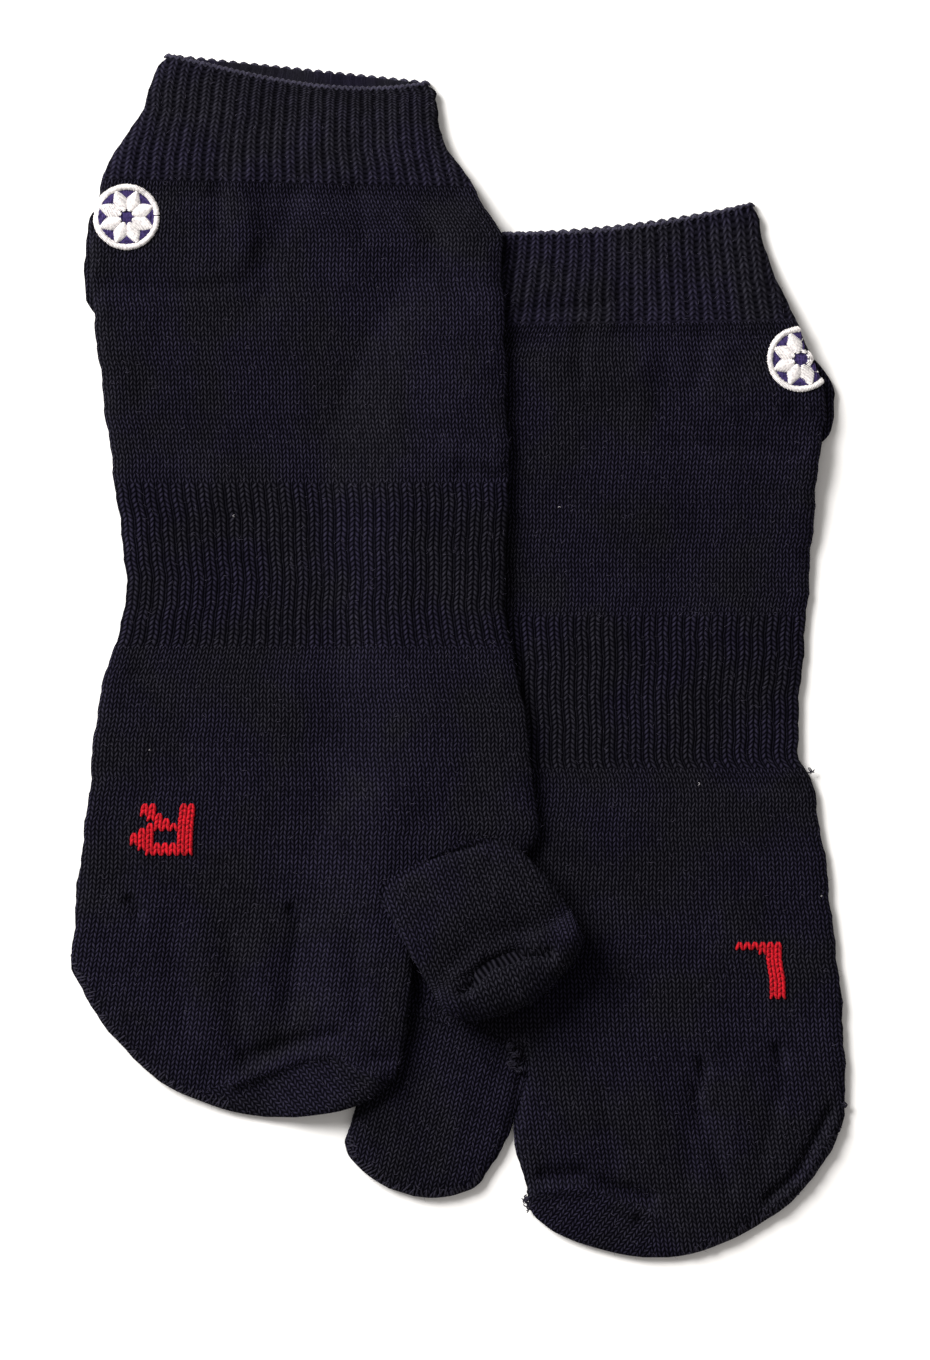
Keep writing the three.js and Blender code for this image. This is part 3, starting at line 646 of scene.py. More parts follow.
class FootKnit:
    """A foot's stitches: ribs in the cuff and the arch, and wales that lean in the toe pocket. toe
    holds where the pocket starts and its two folds there. Beyond cap_line, the lip where the toe's
    cloth rolls under, the stitches turn by cap_turn degrees."""

    def __init__(self, cuff_ribs, cuff_folds, arch, toe, lean, cap_line, cap_turn):
        self.cuff_ribs, self.arch, self.lean = cuff_ribs, arch, math.tan(math.radians(lean))
        self.cuff_left, self.cuff_right = cuff_folds
        self.toe_start, self.toe_left, toe_right = toe
        self.pitch = (toe_right - self.toe_left) / WALES
        self.cap_line, self.cap_turn = np.array(cap_line, float), math.radians(cap_turn)

    def rib_place(self, x, down, left, right):
        """How many ribs in from the left. In the cuff they run straighter than its side folds."""
        even = (x - left) / np.maximum(right - left, 1)
        straight = (x - self.cuff_left) / (self.cuff_right - self.cuff_left)
        cuff = self.cuff_ribs * (even * (1 - STRAIGHT) + straight * STRAIGHT)
        return np.where(down < CUFF_END + CUFF_FADE, cuff, even * WALES / 2)

    def rib_height(self, down):
        return np.where(down < CUFF_END + CUFF_FADE, CUFF_RIB, ARCH_RIB)

    def drift(self, down):
        """How far the wales of the toe pocket have leaned to the right."""
        below = np.clip(down - self.toe_start, 0, None)
        return self.lean * np.where(below < TOE_EASE, below ** 2 / TOE_EASE / 2, below - TOE_EASE / 2)

    def places(self, x, down, left, right, front):
        """The wale and the course at each corner, and which faces are in the cuff and the arch."""
        even = WALES * (x - left) / np.maximum(right - left, 1)
        toe = (x - self.toe_left - self.drift(down)) / self.pitch
        wale = np.where(down < self.toe_start, even, toe)
        course = down / COURSE
        middle_x, middle_down = x.mean(-1, keepdims=True), down.mean(-1, keepdims=True)
        cuff = middle_down < CUFF_END
        wale = np.where(cuff, self.rib_place(x, down, left, right), wale)
        line = self.cap_line
        cap = front & (middle_down > np.interp(middle_x, line[:, 0], line[:, 1]))
        cap &= (middle_x > line[0, 0]) & (middle_x < line[-1, 0])
        c, s = math.cos(self.cap_turn), math.sin(self.cap_turn)
        wale = np.where(cap, (x * c - down * s) / self.pitch, wale)
        course = np.where(cap, (x * s + down * c) / COURSE, course)
        arch = (middle_down > self.arch[0]) & (middle_down < self.arch[1])
        return wale, course, cuff[..., 0].astype(float), arch[..., 0].astype(float)

    def spot(self, tube, wale, course):
        """Across and down of a place in the plain knit below the cuff."""
        down = course * COURSE
        left, right = tube.fold_lines(down)
        even = left + wale * (right - left) / WALES
        toe = wale * self.pitch + self.toe_left + self.drift(down)
        return np.where(down < self.toe_start, even, toe), down


def carried(points, outline, slope):
    """1 where a point lies on what is beneath it, falling to 0 across the slope beside it."""
    beside = 1 - ramp(distance(points, outline), LIFT_EDGE, slope)
    return np.where(inside(points, outline), 1.0, beside)


def on_left_pouch(xy):
    return (POUCH - POUCH_LAP) * carried(left_ground.local(xy), left_pouch.outline, POUCH_DRAPE)


# The left sock's big-toe stall
# A short closed tube of the same plain cotton knit, for the big toe. It is knitted on from the foot
# and linked shut at its tip.
STALL_STEP = 0.8
STALL_SPANS = (80, 80)
STALL_SINK = (0.35, 12.0)      # how far its root lies below the foot's cloth, and over what length
LEFT_STALL = [
    (-9.0, -14.0, 16.0), (1.0, -17.0, 19.6), (8.0, -17.2, 21.7), (16.0, -16.9, 22.4),
    (24.0, -16.5, 22.4), (31.0, -16.3, 21.2), (36.5, -16.1, 20.0), (40.0, -15.8, 18.6),
    (42.6, -14.2, 15.8), (44.7, -10.6, 12.2), (46.3, -6.4, 8.4), (47.2, -2.6, 4.2),
]
LEFT_STALL_CREASES = [
    (-1.5, 1.3, (20.0, 3), (20.6, 7.8), (22.3, 19.8), (22.6, 28)),
    (-0.39, 3, (-4, 6), (-2, 22)), (0.33, 3.5, (8, 18), (10, 34)), (-0.52, 2.2, (14, 2), (15, 14)),
    (0.26, 2, (-10, 38), (8, 40)), (0.5, 1.6, (-13, 41.5), (0, 44), (14, 41)),
]

left_stall_ground = Ground((-0.9, -88.7), 17.5)
left_tube = Tube(LEFT_FOOT, left_ground, on_left_pouch, STEP, LEFT_CREASES, sag=LEFT_SAG)
left_stall_tube = Tube(LEFT_STALL, left_stall_ground, on_left_pouch, STALL_STEP, LEFT_STALL_CREASES,
                       sink=STALL_SINK)
left_tube.open_into(left_stall_tube)
left_stall_tube.open_into(left_tube)

left_knit = FootKnit(
    cuff_ribs=22, cuff_folds=(-40.6, 30.0), arch=(103, 141), toe=(194.0, -63.0, 50.0), lean=8,
    cap_line=[(-28, 247.5), (-14, 245), (3, 251.5)], cap_turn=-38)
left_foot = knitted("left_foot", left_tube, FOOT_SPANS, left_knit, INNER_DEPTH, rim=True)
cloth(left_foot, "sock_left")
left_stall = knitted("left_stall", left_stall_tube, STALL_SPANS, PlainKnit(1.93, lean=3), depth=36)
cloth(left_stall, "sock_left")


# The right sock's heel pouch
# The same two layers of plain knit as the left one's, made back and forth by the machine, and folded
# down beneath the leg.
RIGHT_POUCH = [
    (36.0, -40.0, 26.0), (40.0, -52.6, 32.0), (46.0, -53.8, 34.0), (56.0, -54.0, 34.0),
    (62.0, -53.4, 31.0), (65.0, -51.0, 27.0), (67.5, -40.0, 18.0),
]
right_ground = Ground((-39.1, 149.7))
right_pouch = Tube(RIGHT_POUCH, right_ground, below_pouch, POUCH_STEP, thick=POUCH)
right_heel = knitted("right_heel", right_pouch, POUCH_SPANS, PlainKnit(POUCH_WALE), depth=50)
cloth(right_heel, "sock_right")


# The right sock's foot
# The twin of the left foot, knitted round in the same cotton and closed by linking. It is laid over the
# left sock, and climbs over its edge and its stall.
RIB = 0.4                      # what the lower sock's ribs stand up
CLEAR = 0.7                    # and the air above them
STACK = LAYERS + RIB + CLEAR   # how far the upper sock is lifted by the lower one
RIGHT_FOOT = [
    (0.6, -33.8, 31.8, 6.9, 3.8, 1), (2.4, -35.4, 33.7, 6.3, 3.2, 1), (6.0, -37.2, 33.8, 5.0, 2.0, 1),
    (14.0, -40.0, 34.4, 3.5, 0, 1), (22.0, -45.0, 37.4, 2.5, 0, 1), (29.0, -49.3, 42.0, 2.0, 0, 1),
    (32.0, -50.0, 43.6, 2.0), (37.5, -50.6, 46.6, 1.5), (44.0, -52.2, 49.6), (56.0, -52.2, 50.2),
    (66.0, -51.6, 50.8), (78.0, -50.2, 51.0), (92.0, -48.6, 51.4), (105.0, -46.8, 52.0),
    (109.0, -46.4, 51.8, 0, 0, 1), (123.0, -44.4, 51.2, 0, 0, 1), (137.0, -44.0, 50.8, 0, 0, 1),
    (146.0, -46.2, 52.2, 0, 0, 1), (149.5, -47.6, 53.0), (157.0, -49.6, 54.5), (168.0, -51.6, 56.5),
    (182.0, -52.8, 57.8), (195.0, -54.4, 59.0), (201.0, -55.2, 54.0), (206.0, -55.8, 42.0),
    (212.0, -56.4, 30.5), (220.0, -56.9, 28.3), (228.0, -57.2, 27.9), (233.0, -55.0, 27.5),
    (238.0, -52.0, 27.0), (243.0, -48.4, 26.4), (247.5, -44.6, 25.5), (251.5, -40.8, 24.6),
    (255.0, -36.8, 23.6), (258.0, -31.8, 20.8), (260.6, -26.0, 17.0), (262.8, -20.0, 11.5),
    (264.3, -13.6, 3.4), (264.9, -9.0, -1.6),
]
RIGHT_CREASES = [
    (-1.0, 2.6, (-38, 34.5), (-10, 35.5), (20, 34.5), (40, 37)), (-0.9, 2.2, (-20.5, 33), (-21, 43)),
    (-1.0, 3.0, (-2, 36), (-6, 46)), (0.9, 2.6, (-12, 38), (-13, 50)), (-0.9, 2.4, (14, 34), (16, 44)),
    (0.8, 3.0, (24, 38), (30, 50)), (-0.9, 1.8, (-50, 57.5), (-30, 58.5), (-14, 57)),
    (-2.2, 1.6, (-42.6, 211), (-40.6, 213.6)), (-2.2, 1.5, (-2.4, 213.2), (-0.6, 216)),
    (-0.84, 2.8, (-33, 218), (-29, 243)), (0.63, 3, (-26, 216), (-22, 244)),
    (-0.95, 3, (-18, 219), (-15, 248)), (0.63, 2.8, (-10, 217), (-8, 240)),
    (-1.05, 2.8, (-1, 219), (-3, 238)), (0.63, 3, (7, 217), (7, 236)),
    (-0.95, 2.6, (13.5, 221), (14.5, 240)), (-1.05, 4, (-9.3, 34), (-9.5, 60)),
    (0.63, 3.5, (-16, 37), (-15, 52)), (0.84, 5, (4, 37), (14, 52)), (0.84, 3.4, (36, 42), (46, 53)),
    (-0.73, 3, (32, 47), (41, 60)), (-0.84, 2.2, (-50, 56), (-40, 60)),
    (0.73, 2.4, (-49, 62), (-38, 67)), (1.05, 2.2, (38, 98), (50, 102)),
    (-1.05, 1.8, (40, 104), (50, 106)), (0.63, 6, (-5, 168), (2, 186)), (0.63, 8, (-30, 160), (10, 156)),
    (1.05, 7, (10, 190), (34, 178)), (-0.84, 4.5, (2, 198), (8, 186)),
    (-0.63, 4, (-48, 190), (-44, 206)), (0.52, 8, (-25, 80), (-20, 100)),
    (-0.52, 8, (20, 70), (28, 92)), (-2.2, 2.2, (-14, 250.5), (-6.5, 247.8), (2, 245.6), (9, 244.6)),
    (1.9, 1.4, (-17, 256.4), (-8, 253.2), (-0.5, 250.2), (7.5, 248.4), (12, 250), (16, 253), (20, 255.2)),
    (-1.6, 1.9, (12, 246.7), (17, 250.5), (22, 250.6)),
]


def on_left_sock(xy):
    on_foot = carried(left_ground.local(xy), left_tube.outline, DRAPE)
    on_stall = carried(left_stall_ground.local(xy), left_stall_tube.outline, DRAPE)
    over_left = np.maximum(on_foot, on_stall) * STACK + on_foot * on_left_pouch(xy)
    on_pouch = (POUCH - POUCH_LAP) * carried(right_ground.local(xy), right_pouch.outline, POUCH_DRAPE)
    return np.maximum(over_left, on_pouch)


right_tube = Tube(RIGHT_FOOT, right_ground, on_left_sock, STEP, RIGHT_CREASES)
right_knit = FootKnit(
    cuff_ribs=23, cuff_folds=(-37.2, 33.6), arch=(107, 148), toe=(195.0, -54.4, 59.0), lean=-9,
    cap_line=[(-24, 258), (8, 249.5), (23, 256)], cap_turn=40)
right_foot = knitted("right_foot", right_tube, FOOT_SPANS, right_knit, INNER_DEPTH, rim=True)
cloth(right_foot, "sock_right")


# The right sock's big-toe stall
# The same short tube of plain knit, linked shut at its tip. It leaves the foot beneath, turns up over
# its own root and lies back on the foot, held by nothing but the fold.
FOLDED_STEP = 0.7
FOLDED_SINK = (0.5, 16.0)
# Each row: out from the middle of the fold, up, the left and the right edge, and how far the ends of
# the section hang back from its middle
RIGHT_STALL = [
    (-27.0, 0, -14.0, 15.5, 0), (-19.0, 0, -16.5, 17.5, 0), (-10.0, 0, -18.0, 18.5, 0),
    (-2.0, 0.2, -19.0, 19.2, 2.5), (3.0, 1.4, -19.3, 19.6, 5.5), (5.8, 4.0, -19.5, 19.9, 6.5),
    (4.6, 6.8, -19.6, 20.1, 6.0), (1.0, 8.0, -19.6, 20.3, 4.5), (-2.8, 6.9, -19.5, 20.5, 2.5),
    (-6.0, 5.2, -19.5, 20.6, 1.0), (-10.0, 5.3, -19.5, 20.4, 0), (-15.5, 6.4, -19.6, 19.6, 0),
    (-22.0, 6.6, -19.5, 18.4, 0), (-27.0, 6.1, -19.3, 17.0, 0), (-31.0, 5.6, -19.4, 15.0, 0),
    (-33.6, 5.2, -19.4, 11.0, 0), (-35.4, 5.0, -18.8, 5.0, 0), (-36.6, 4.9, -16.6, -3.0, 0),
]


# The first two of the columns that a folded tube's rows add: out, up and bow
OUT, UP = RIBBED + 1, RIBBED + 2


class FoldedTube(Tube):
    """A tube folded back on itself. Its DOWN runs along the path of the fold, which its rows hold."""
    face = -1

    def spread(self, table, step):
        out, up, left, right, bow = np.array(table, float).T
        run = np.r_[0, np.cumsum(np.hypot(np.diff(out), np.diff(up)))]
        none = np.zeros(len(table))
        rows = smooth(np.c_[run, left, right, none, none, none, out, up, bow], run, step)
        rows[:, DOWN] = np.r_[0, np.cumsum(np.hypot(np.diff(rows[:, OUT]), np.diff(rows[:, UP])))]
        return rows

    def place(self, across, down, height):
        length, path = self.rows[:, DOWN], self.rows[:, OUT:]
        left, right = self.fold_lines(down)
        out, up, bow = (np.interp(down, length, column) for column in path.T)
        run = np.stack([np.interp(down, length, np.gradient(column, length)) for column in path.T[:2]], -1)
        run /= np.linalg.norm(run, axis=-1, keepdims=True)
        offside = (across - (left + right) / 2) / ((right - left) / 2)
        out = out - bow * offside ** 2 - run[..., 1] * height
        z = STACK + LAYERS / 2 + up + run[..., 0] * height
        return np.concatenate([self.ground.floor(across, out), z[..., None]], -1)


FOLDED_CREASES = [
    (1.3, 2.6, (-13, 49.0), (-9, 50.6), (-4, 52.8), (4, 50.6), (11, 46.2)),
    (-2.8, 1.35, (-13, 43.6), (-9, 45.2), (-3.8, 48.0), (3.3, 45.8), (10.5, 41.6)),
    (0.7, 2.4, (-14, 42.0), (-5, 44.6), (4, 43.4)), (-0.5, 2.6, (-8, 54), (8, 52)),
    (0.4, 4.0, (-12, 62), (4, 64)), (-0.4, 2.4, (6, 66), (12, 74)),
]

right_stall_ground = Ground((14.1, -80.0), -30)
right_stall_tube = FoldedTube(RIGHT_STALL, right_stall_ground, on_floor, FOLDED_STEP, FOLDED_CREASES,
                              sink=FOLDED_SINK)
right_stall = knitted("right_stall", right_stall_tube, STALL_SPANS, PlainKnit(2.0, lean=8), depth=70)
cloth(right_stall, "sock_right")


# The red foot letters
# An L and an R, knitted in with red cotton yarn that floats behind the navy. They read upright from
# the toe end, and tell the wearer which sock goes on which foot.
LETTER_L = (
    "XX....", "XX....", "XX....", "XX....", "XX....", "XX....",
    "XX....", "XX....", "XX....", "XXX...", "XXXXXX",
)
LETTER_R = (
    "XXXXXX..", "XXXXXXX.", "XX...XXX", "XX...XXX", "XX...XX.",
    "XXXXXX..", "XX.XX...", "XX..XX..", "XX...XX.", "XX...XX.",
)
LETTER_L_AT = (45, 151)        # the wale and the course of its first stitch
LETTER_R_AT = (6, 153)
RED_YARN = 0.43
RED_RISE = 0.34
RED_LIFT = 0.12
LEG_SPREAD = (0.10, 0.40)      # from the wale's middle, at a leg's top and foot
LEG_COURSES = (0.05, 1.55)
THREAD_CUTS = 3
THREAD_SIDES = 6
THREAD_TIP = 0.6               # the share of its width that a thread keeps at its ends
FIBRE_WAVES = 1700
TWIST_WAVES = 240
FIBRE_RELIEF = 0.08 * MM


def new_tree(name, kinds):
    """A node tree that takes a mesh, a material and the inputs in kinds, and gives a mesh."""
    tree = bpy.data.node_groups.new(name, "GeometryNodeTree")
    for key, kind in {"Geometry": "Geometry", **kinds, "Material": "Material"}.items():
        tree.interface.new_socket(key, in_out="INPUT", socket_type="NodeSocket" + kind)
    tree.interface.new_socket("Geometry", in_out="OUTPUT", socket_type="NodeSocketGeometry")
    return tree, tree.nodes.new("NodeGroupInput").outputs


def end_tree(tree, geometry, material):
    whole = add_node(tree, "GeometryNodeRealizeInstances", {"Geometry": geometry})
    painted = add_node(tree, "GeometryNodeSetMaterial", {"Geometry": whole.outputs[0], "Material": material})
    tree.links.new(painted.outputs[0], tree.nodes.new("NodeGroupOutput").inputs["Geometry"])
    return tree


def thread_tree():
    """Lays a thread along each edge of a mesh. It rises from the cloth halfway, and thins to its ends."""
    tree, given = new_tree("threads", {"Radius": "Float", "Rise": "Float"})
    curves = add_node(tree, "GeometryNodeMeshToCurve", {"Mesh": given["Geometry"]})
    finer = add_node(tree, "GeometryNodeSubdivideCurve", {"Curve": curves.outputs[0], "Cuts": THREAD_CUTS})
    factor = Sum(tree, tree.nodes.new("GeometryNodeSplineParameter").outputs["Factor"])
    outward = add_node(tree, "GeometryNodeInputNamedAttribute", {"Name": "outward"}, data_type="FLOAT_VECTOR")
    rise = factor.arch() * Sum(tree, given["Rise"])
    offset = add_node(tree, "ShaderNodeVectorMath", {
        "Vector": outward.outputs["Attribute"], "Scale": rise.socket,
    }, operation="SCALE")
    bent = add_node(tree, "GeometryNodeSetPosition", {
        "Geometry": finer.outputs[0], "Offset": offset.outputs[0],
    })
    ring = add_node(tree, "GeometryNodeCurvePrimitiveCircle", {"Resolution": THREAD_SIDES, "Radius": 1.0})
    width = (factor.arch(0.5) * (1 - THREAD_TIP) + THREAD_TIP) * Sum(tree, given["Radius"])
    tubes = add_node(tree, "GeometryNodeCurveToMesh", {
        "Curve": bent.outputs[0], "Profile Curve": ring.outputs[0], "Scale": width.socket,
        "Fill Caps": True,
    })
    return end_tree(tree, tubes.outputs[0], given["Material"])


threads = thread_tree()


def grown(name, base, tree, values):
    """What a node tree makes of a mesh, as a piece with a plain mesh."""
    piece = placed(name, base)
    modifier = piece.modifiers.new("grown", "NODES")
    modifier.node_group = tree
    for item in tree.interface.items_tree:
        if item.in_out == "INPUT" and item.name in values:
            modifier[item.identifier] = values[item.name]
    seen = piece.evaluated_get(bpy.context.evaluated_depsgraph_get())
    piece.data = bpy.data.meshes.new_from_object(seen)
    piece.modifiers.clear()
    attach(piece, "root")
    return piece


def stitched(name, starts, ends, outward, radius, rise, material):
    """One thread for each start and end. outward holds a direction for each start."""
    count = len(starts)
    base = bpy.data.meshes.new(name + "_lines")
    points = np.concatenate([starts, ends]) * MM + SHIFT
    base.from_pydata(points, [(n, n + count) for n in range(count)], [])
    away = np.concatenate([outward, outward]).astype(np.float32)
    base.attributes.new("outward", "FLOAT_VECTOR", "POINT").data.foreach_set("vector", away.ravel())
    values = {"Radius": radius * MM, "Rise": rise * MM, "Material": material}
    piece = grown(name, base, threads, values)
    piece.data.polygons.foreach_set("use_smooth", [True] * len(piece.data.polygons))


def yarn_material(name, bright, dark, sheen=0.03):
    """Plied yarn, with painted shade: darker in its twist and between its fibres."""
    look = {"Roughness": 0.8, "Specular IOR Level": 0.1, "Sheen Weight": sheen}
    made, tree, shader = surface(name, look)
    fibres = noise(tree, FIBRE_WAVES, 3.0)
    share = fibres.between(0.3, 0.62) * (noise(tree, TWIST_WAVES, 1.0) * 0.8 + 0.5)
    # Painted shade: the dark colour shows in the twist and between the fibres
    tree.links.new(blend(tree, share, dark, bright), shader.inputs["Base Color"])
    bump = add_node(tree, "ShaderNodeBump", {"Height": fibres.socket, "Distance": FIBRE_RELIEF})
    tree.links.new(bump.outputs["Normal"], shader.inputs["Normal"])
    return made


red_yarn = yarn_material("red_cotton_yarn", (0.50, 0.006, 0.016), (0.17, 0.002, 0.006))


def letter(name, tube, knit, chart, at):
    """Two legs of red yarn over each stitch of a chart, which is turned by half a turn."""
    starts, ends = [], []
    for row, line in enumerate(reversed(chart)):
        for column, mark in enumerate(reversed(line)):
            if mark == "X":
                wale, course = at[0] + column + 0.5, at[1] + row
                for side in (-1, 1):
                    starts.append((wale + side * LEG_SPREAD[0], course + LEG_COURSES[0]))
                    ends.append((wale + side * LEG_SPREAD[1], course + LEG_COURSES[1]))
    top = knit.spot(tube, *np.array(starts).T)
    foot = knit.spot(tube, *np.array(ends).T)
    outward = tube.normal(*top)
    lift = outward * RED_LIFT
    front = np.ones(len(top[0]))
    stitched(name, tube.lie(*top, front) + lift, tube.lie(*foot, front) + lift, outward, RED_YARN,
             RED_RISE, red_yarn)


letter("letter_left", left_tube, left_knit, LETTER_L, LETTER_L_AT)
letter("letter_right", right_tube, right_knit, LETTER_R, LETTER_R_AT)


# The ankle rosettes
# A small round emblem on the outer ankle of each sock, embroidered by machine in satin stitch: white
# petals and a white edge on a violet ground.
ROSETTE_RIGHT = (-43.4, 40.4)  # across and down
ROSETTE_LEFT = (39.9, 38.8)
ROSETTE = 7.9
EDGE_BAND = (6.9, 8.1)         # from the middle to the inside and the outside of the white edge
EDGE_JITTER = 0.15
PETALS = 8
PETAL = (1.7, 6.6)             # from the middle to a petal's root and tip
PETAL_WIDTH = 1.75
SATIN = 0.24
SATIN_STEP = 0.36
WHITE_LIFT = 0.25
WHITE_RISE = 0.42
GROUND_THREAD = 2.6            # the longest stitch of the violet ground
GROUND_LIFT = 0.05
GROUND_RISE = 0.15
WRAP = 1.4                     # how strongly the cloth's round side fold turns a stitch outwards

white_thread = yarn_material("white_embroidery_thread", (0.80, 0.77, 0.76), (0.50, 0.48, 0.49), 0.1)
violet_thread = yarn_material("violet_embroidery_thread", (0.050, 0.034, 0.130), (0.016, 0.011, 0.050))


def on_cloth(tube, across, down, lift):
    """A place on the front, or beyond a side fold on the back, and the way out of the cloth there."""
    left, right = tube.fold_lines(down)
    side = np.where((across < left) | (across > right), -1.0, 1.0)
    near = np.where(across < left, 2 * left - across, np.where(across > right, 2 * right - across, across))
    out = np.array([0, 0, 1.0]) * np.where(side > 0, 1.0, -1.0)[:, None]
    slope = 1 - np.clip(np.minimum(near - left, right - near) / FOLD, 0, 1)
    sideways = np.where(across < (left + right) / 2, -1.0, 1.0)
    out = out * (1 - slope)[:, None] + np.r_[tube.ground.across, 0] * (slope * sideways)[:, None] * WRAP
    out /= np.linalg.norm(out, axis=1, keepdims=True)
    return tube.lie(near, down, side) + out * lift, out


def satin(name, tube, centre, starts, ends, lift, rise, material):
    starts, ends = np.array(starts), np.array(ends)
    first, out = on_cloth(tube, centre[0] + starts[:, 0], centre[1] + starts[:, 1], lift)
    last, _ = on_cloth(tube, centre[0] + ends[:, 0], centre[1] + ends[:, 1], lift)
    stitched(name, first, last, out, SATIN, rise, material)


def rosette(name, tube, centre):
    starts, ends = [], []
    chance = random.Random(7)
    for n in range(int(2 * math.pi * ROSETTE / SATIN_STEP)):
        turn = n * SATIN_STEP / ROSETTE
        way = np.array([math.cos(turn), math.sin(turn)])
        starts.append(way * (EDGE_BAND[0] - chance.uniform(0, EDGE_JITTER)))
        ends.append(way * (EDGE_BAND[1] + chance.uniform(0, EDGE_JITTER)))
    for petal in range(PETALS):
        turn = 2 * math.pi * (petal + 0.5) / PETALS
        way = np.array([math.cos(turn), math.sin(turn)])
        beside = np.array([-way[1], way[0]])
        steps = int((PETAL[1] - PETAL[0]) / SATIN_STEP) + 1
        for step in range(steps + 1):
            t = step / steps
            half = PETAL_WIDTH * math.sin(math.pi * (0.06 + 0.88 * t ** 0.8)) ** 0.8
            at = way * (PETAL[0] + (PETAL[1] - PETAL[0]) * t)
            starts.append(at - beside * half)
            ends.append(at + beside * half)
    satin(name + "_white", tube, centre, starts, ends, WHITE_LIFT, WHITE_RISE, white_thread)
    starts, ends = [], []
    for n in range(int(-EDGE_BAND[0] / SATIN_STEP), int(EDGE_BAND[0] / SATIN_STEP) + 1):
        x = n * SATIN_STEP
        reach = math.sqrt(max(EDGE_BAND[0] ** 2 - x ** 2, 0))
        pieces = max(1, round(2 * reach / GROUND_THREAD))
        for part in range(pieces):
            starts.append((x, -reach + 2 * reach * part / pieces))
            ends.append((x, -reach + 2 * reach * (part + 1) / pieces))
    satin(name + "_ground", tube, centre, starts, ends, GROUND_LIFT, GROUND_RISE, violet_thread)


rosette("rosette_left", left_tube, ROSETTE_LEFT)
rosette("rosette_right", right_tube, ROSETTE_RIGHT)


# The cuffs' cast-on edges
# The first course of each cuff is a row of open loops of navy yarn, made on the machine before the
# ribs begin.
LOOP_YARN = 0.46
LOOP_RISE = 0.75
LOOP_LIFT = 0.3
LOOPS_RUN = (0.012, 0.988)     # the part of the cuff's width that they take
BACK_LOOPS = 25                # in the back layer. The front has two for each rib
BACK_LOOP = 0.92               # the width of a loop, as a share of the room it has
FRONT_LOOP = 1.1

loop_yarn = yarn_material("navy_loop_yarn", (0.036, 0.034, 0.056), (0.007, 0.006, 0.012))


def cast_on(name, tube, ribs):
    row = tube.rows[0]
    up = np.r_[-tube.ground.down, 0]

    def edge(f, dip, side):
        across = row[LEFT] + (row[RIGHT] - row[LEFT]) * f
        return tube.lie(across, tube.row_down(row, f, dip), np.full(len(f), float(side)))
    starts, ends = [], []
    for count, dip, side, share in ((BACK_LOOPS, 0, -1, BACK_LOOP), (2 * ribs, row[DIP], 1, FRONT_LOOP)):
        f = np.linspace(*LOOPS_RUN, count)
        half = (f[1] - f[0]) * share / 2
        starts.append(edge(f - half, dip, side) + up * LOOP_LIFT)
        ends.append(edge(f + half, dip, side) + up * LOOP_LIFT)
    starts, ends = np.concatenate(starts), np.concatenate(ends)
    stitched(name, starts, ends, np.tile(up, (len(starts), 1)), LOOP_YARN, LOOP_RISE, loop_yarn)


cast_on("cast_on_left", left_tube, left_knit.cuff_ribs)
cast_on("cast_on_right", right_tube, right_knit.cuff_ribs)


# The toe seams
# Each toe is closed by linking: a row of stitches in thin navy yarn that binds the two layers along
# the edge.
LINK_YARN = 0.24
LINK_RISE = 0.25
LINK_LIFT = 0.1
LINK_STEP = 0.9
LINK_SLANT = 0.5               # how far along the edge a stitch leans
LINK_REACH = (2.0, 0.2)        # from the edge to a stitch's inner and outer end
LINK_JITTER = 0.55
# Two places for each seam, across and down: it follows the tube's outline from one to the other
SEAM_RIGHT = ((-57.2, 228.0), (-19.0, 263.0))
SEAM_LEFT = ((51.3, 228.0), (12.0, 262.4))
SEAM_STALL = ((-16.0, 38.0), (19.0, 37.0))

seam_yarn = yarn_material("navy_seam_yarn", (0.020, 0.018, 0.031), (0.003, 0.003, 0.006), 0.01)


def link_seam(name, tube, ends_at, seed):
    line = tube.outline[:-1]
    near = [int(((line - np.array(end)) ** 2).sum(1).argmin()) for end in ends_at]
    path = line[min(near):max(near) + 1]
    run = np.r_[0, np.cumsum(np.linalg.norm(np.diff(path, axis=0), axis=1))]
    at = np.arange(0.5, run[-1], LINK_STEP)
    spot = np.stack([np.interp(at, run, path[:, n]) for n in (0, 1)], -1)
    way = np.gradient(spot, axis=0)
    way /= np.linalg.norm(way, axis=1, keepdims=True)
    inward = np.stack([-way[:, 1], way[:, 0]], -1)
    middle = line.mean(0)
    inward *= np.sign(((middle - spot) * inward).sum(1))[:, None]
    chance = np.random.default_rng(seed)
    jitter = chance.normal(0, LINK_JITTER, (2, len(spot), 1))
    first = spot + inward * (LINK_REACH[0] + jitter[0]) + way * (LINK_SLANT + jitter[1])
    last = spot + inward * LINK_REACH[1]
    front = np.ones(len(spot))
    out = tube.normal(first[:, 0], first[:, 1])
    starts = tube.lie(*first.T, front) + out * LINK_LIFT
    stitched(name, starts, tube.lie(*last.T, front), out, LINK_YARN, LINK_RISE, seam_yarn)


link_seam("seam_left", left_tube, SEAM_LEFT, 3)
link_seam("seam_left_stall", left_stall_tube, SEAM_STALL, 4)
link_seam("seam_right", right_tube, SEAM_RIGHT, 5)


# The nap
# Fine loose fibres that stand out of the cotton all over both socks. They show most along the edges,
# against the white.
NAP_SEED = 21
NAP_PER_AREA = 130000          # hairs to the square metre
NAP_LENGTH = 1.7
NAP_WIDTH = 0.045
NAP_BEND = 0.28
NAP_LEAN = (0.75, 1.45)        # from upright, in radians
NAP_SHORTEST = 0.35            # as a share of the longest hair


def flat_colour(name, colour):
    look = {"Base Color": (*colour, 1), "Roughness": 0.9, "Specular IOR Level": 0.1}
    return surface(name, look)[0]


nap_material = flat_colour("cotton_nap", (0.055, 0.050, 0.075))


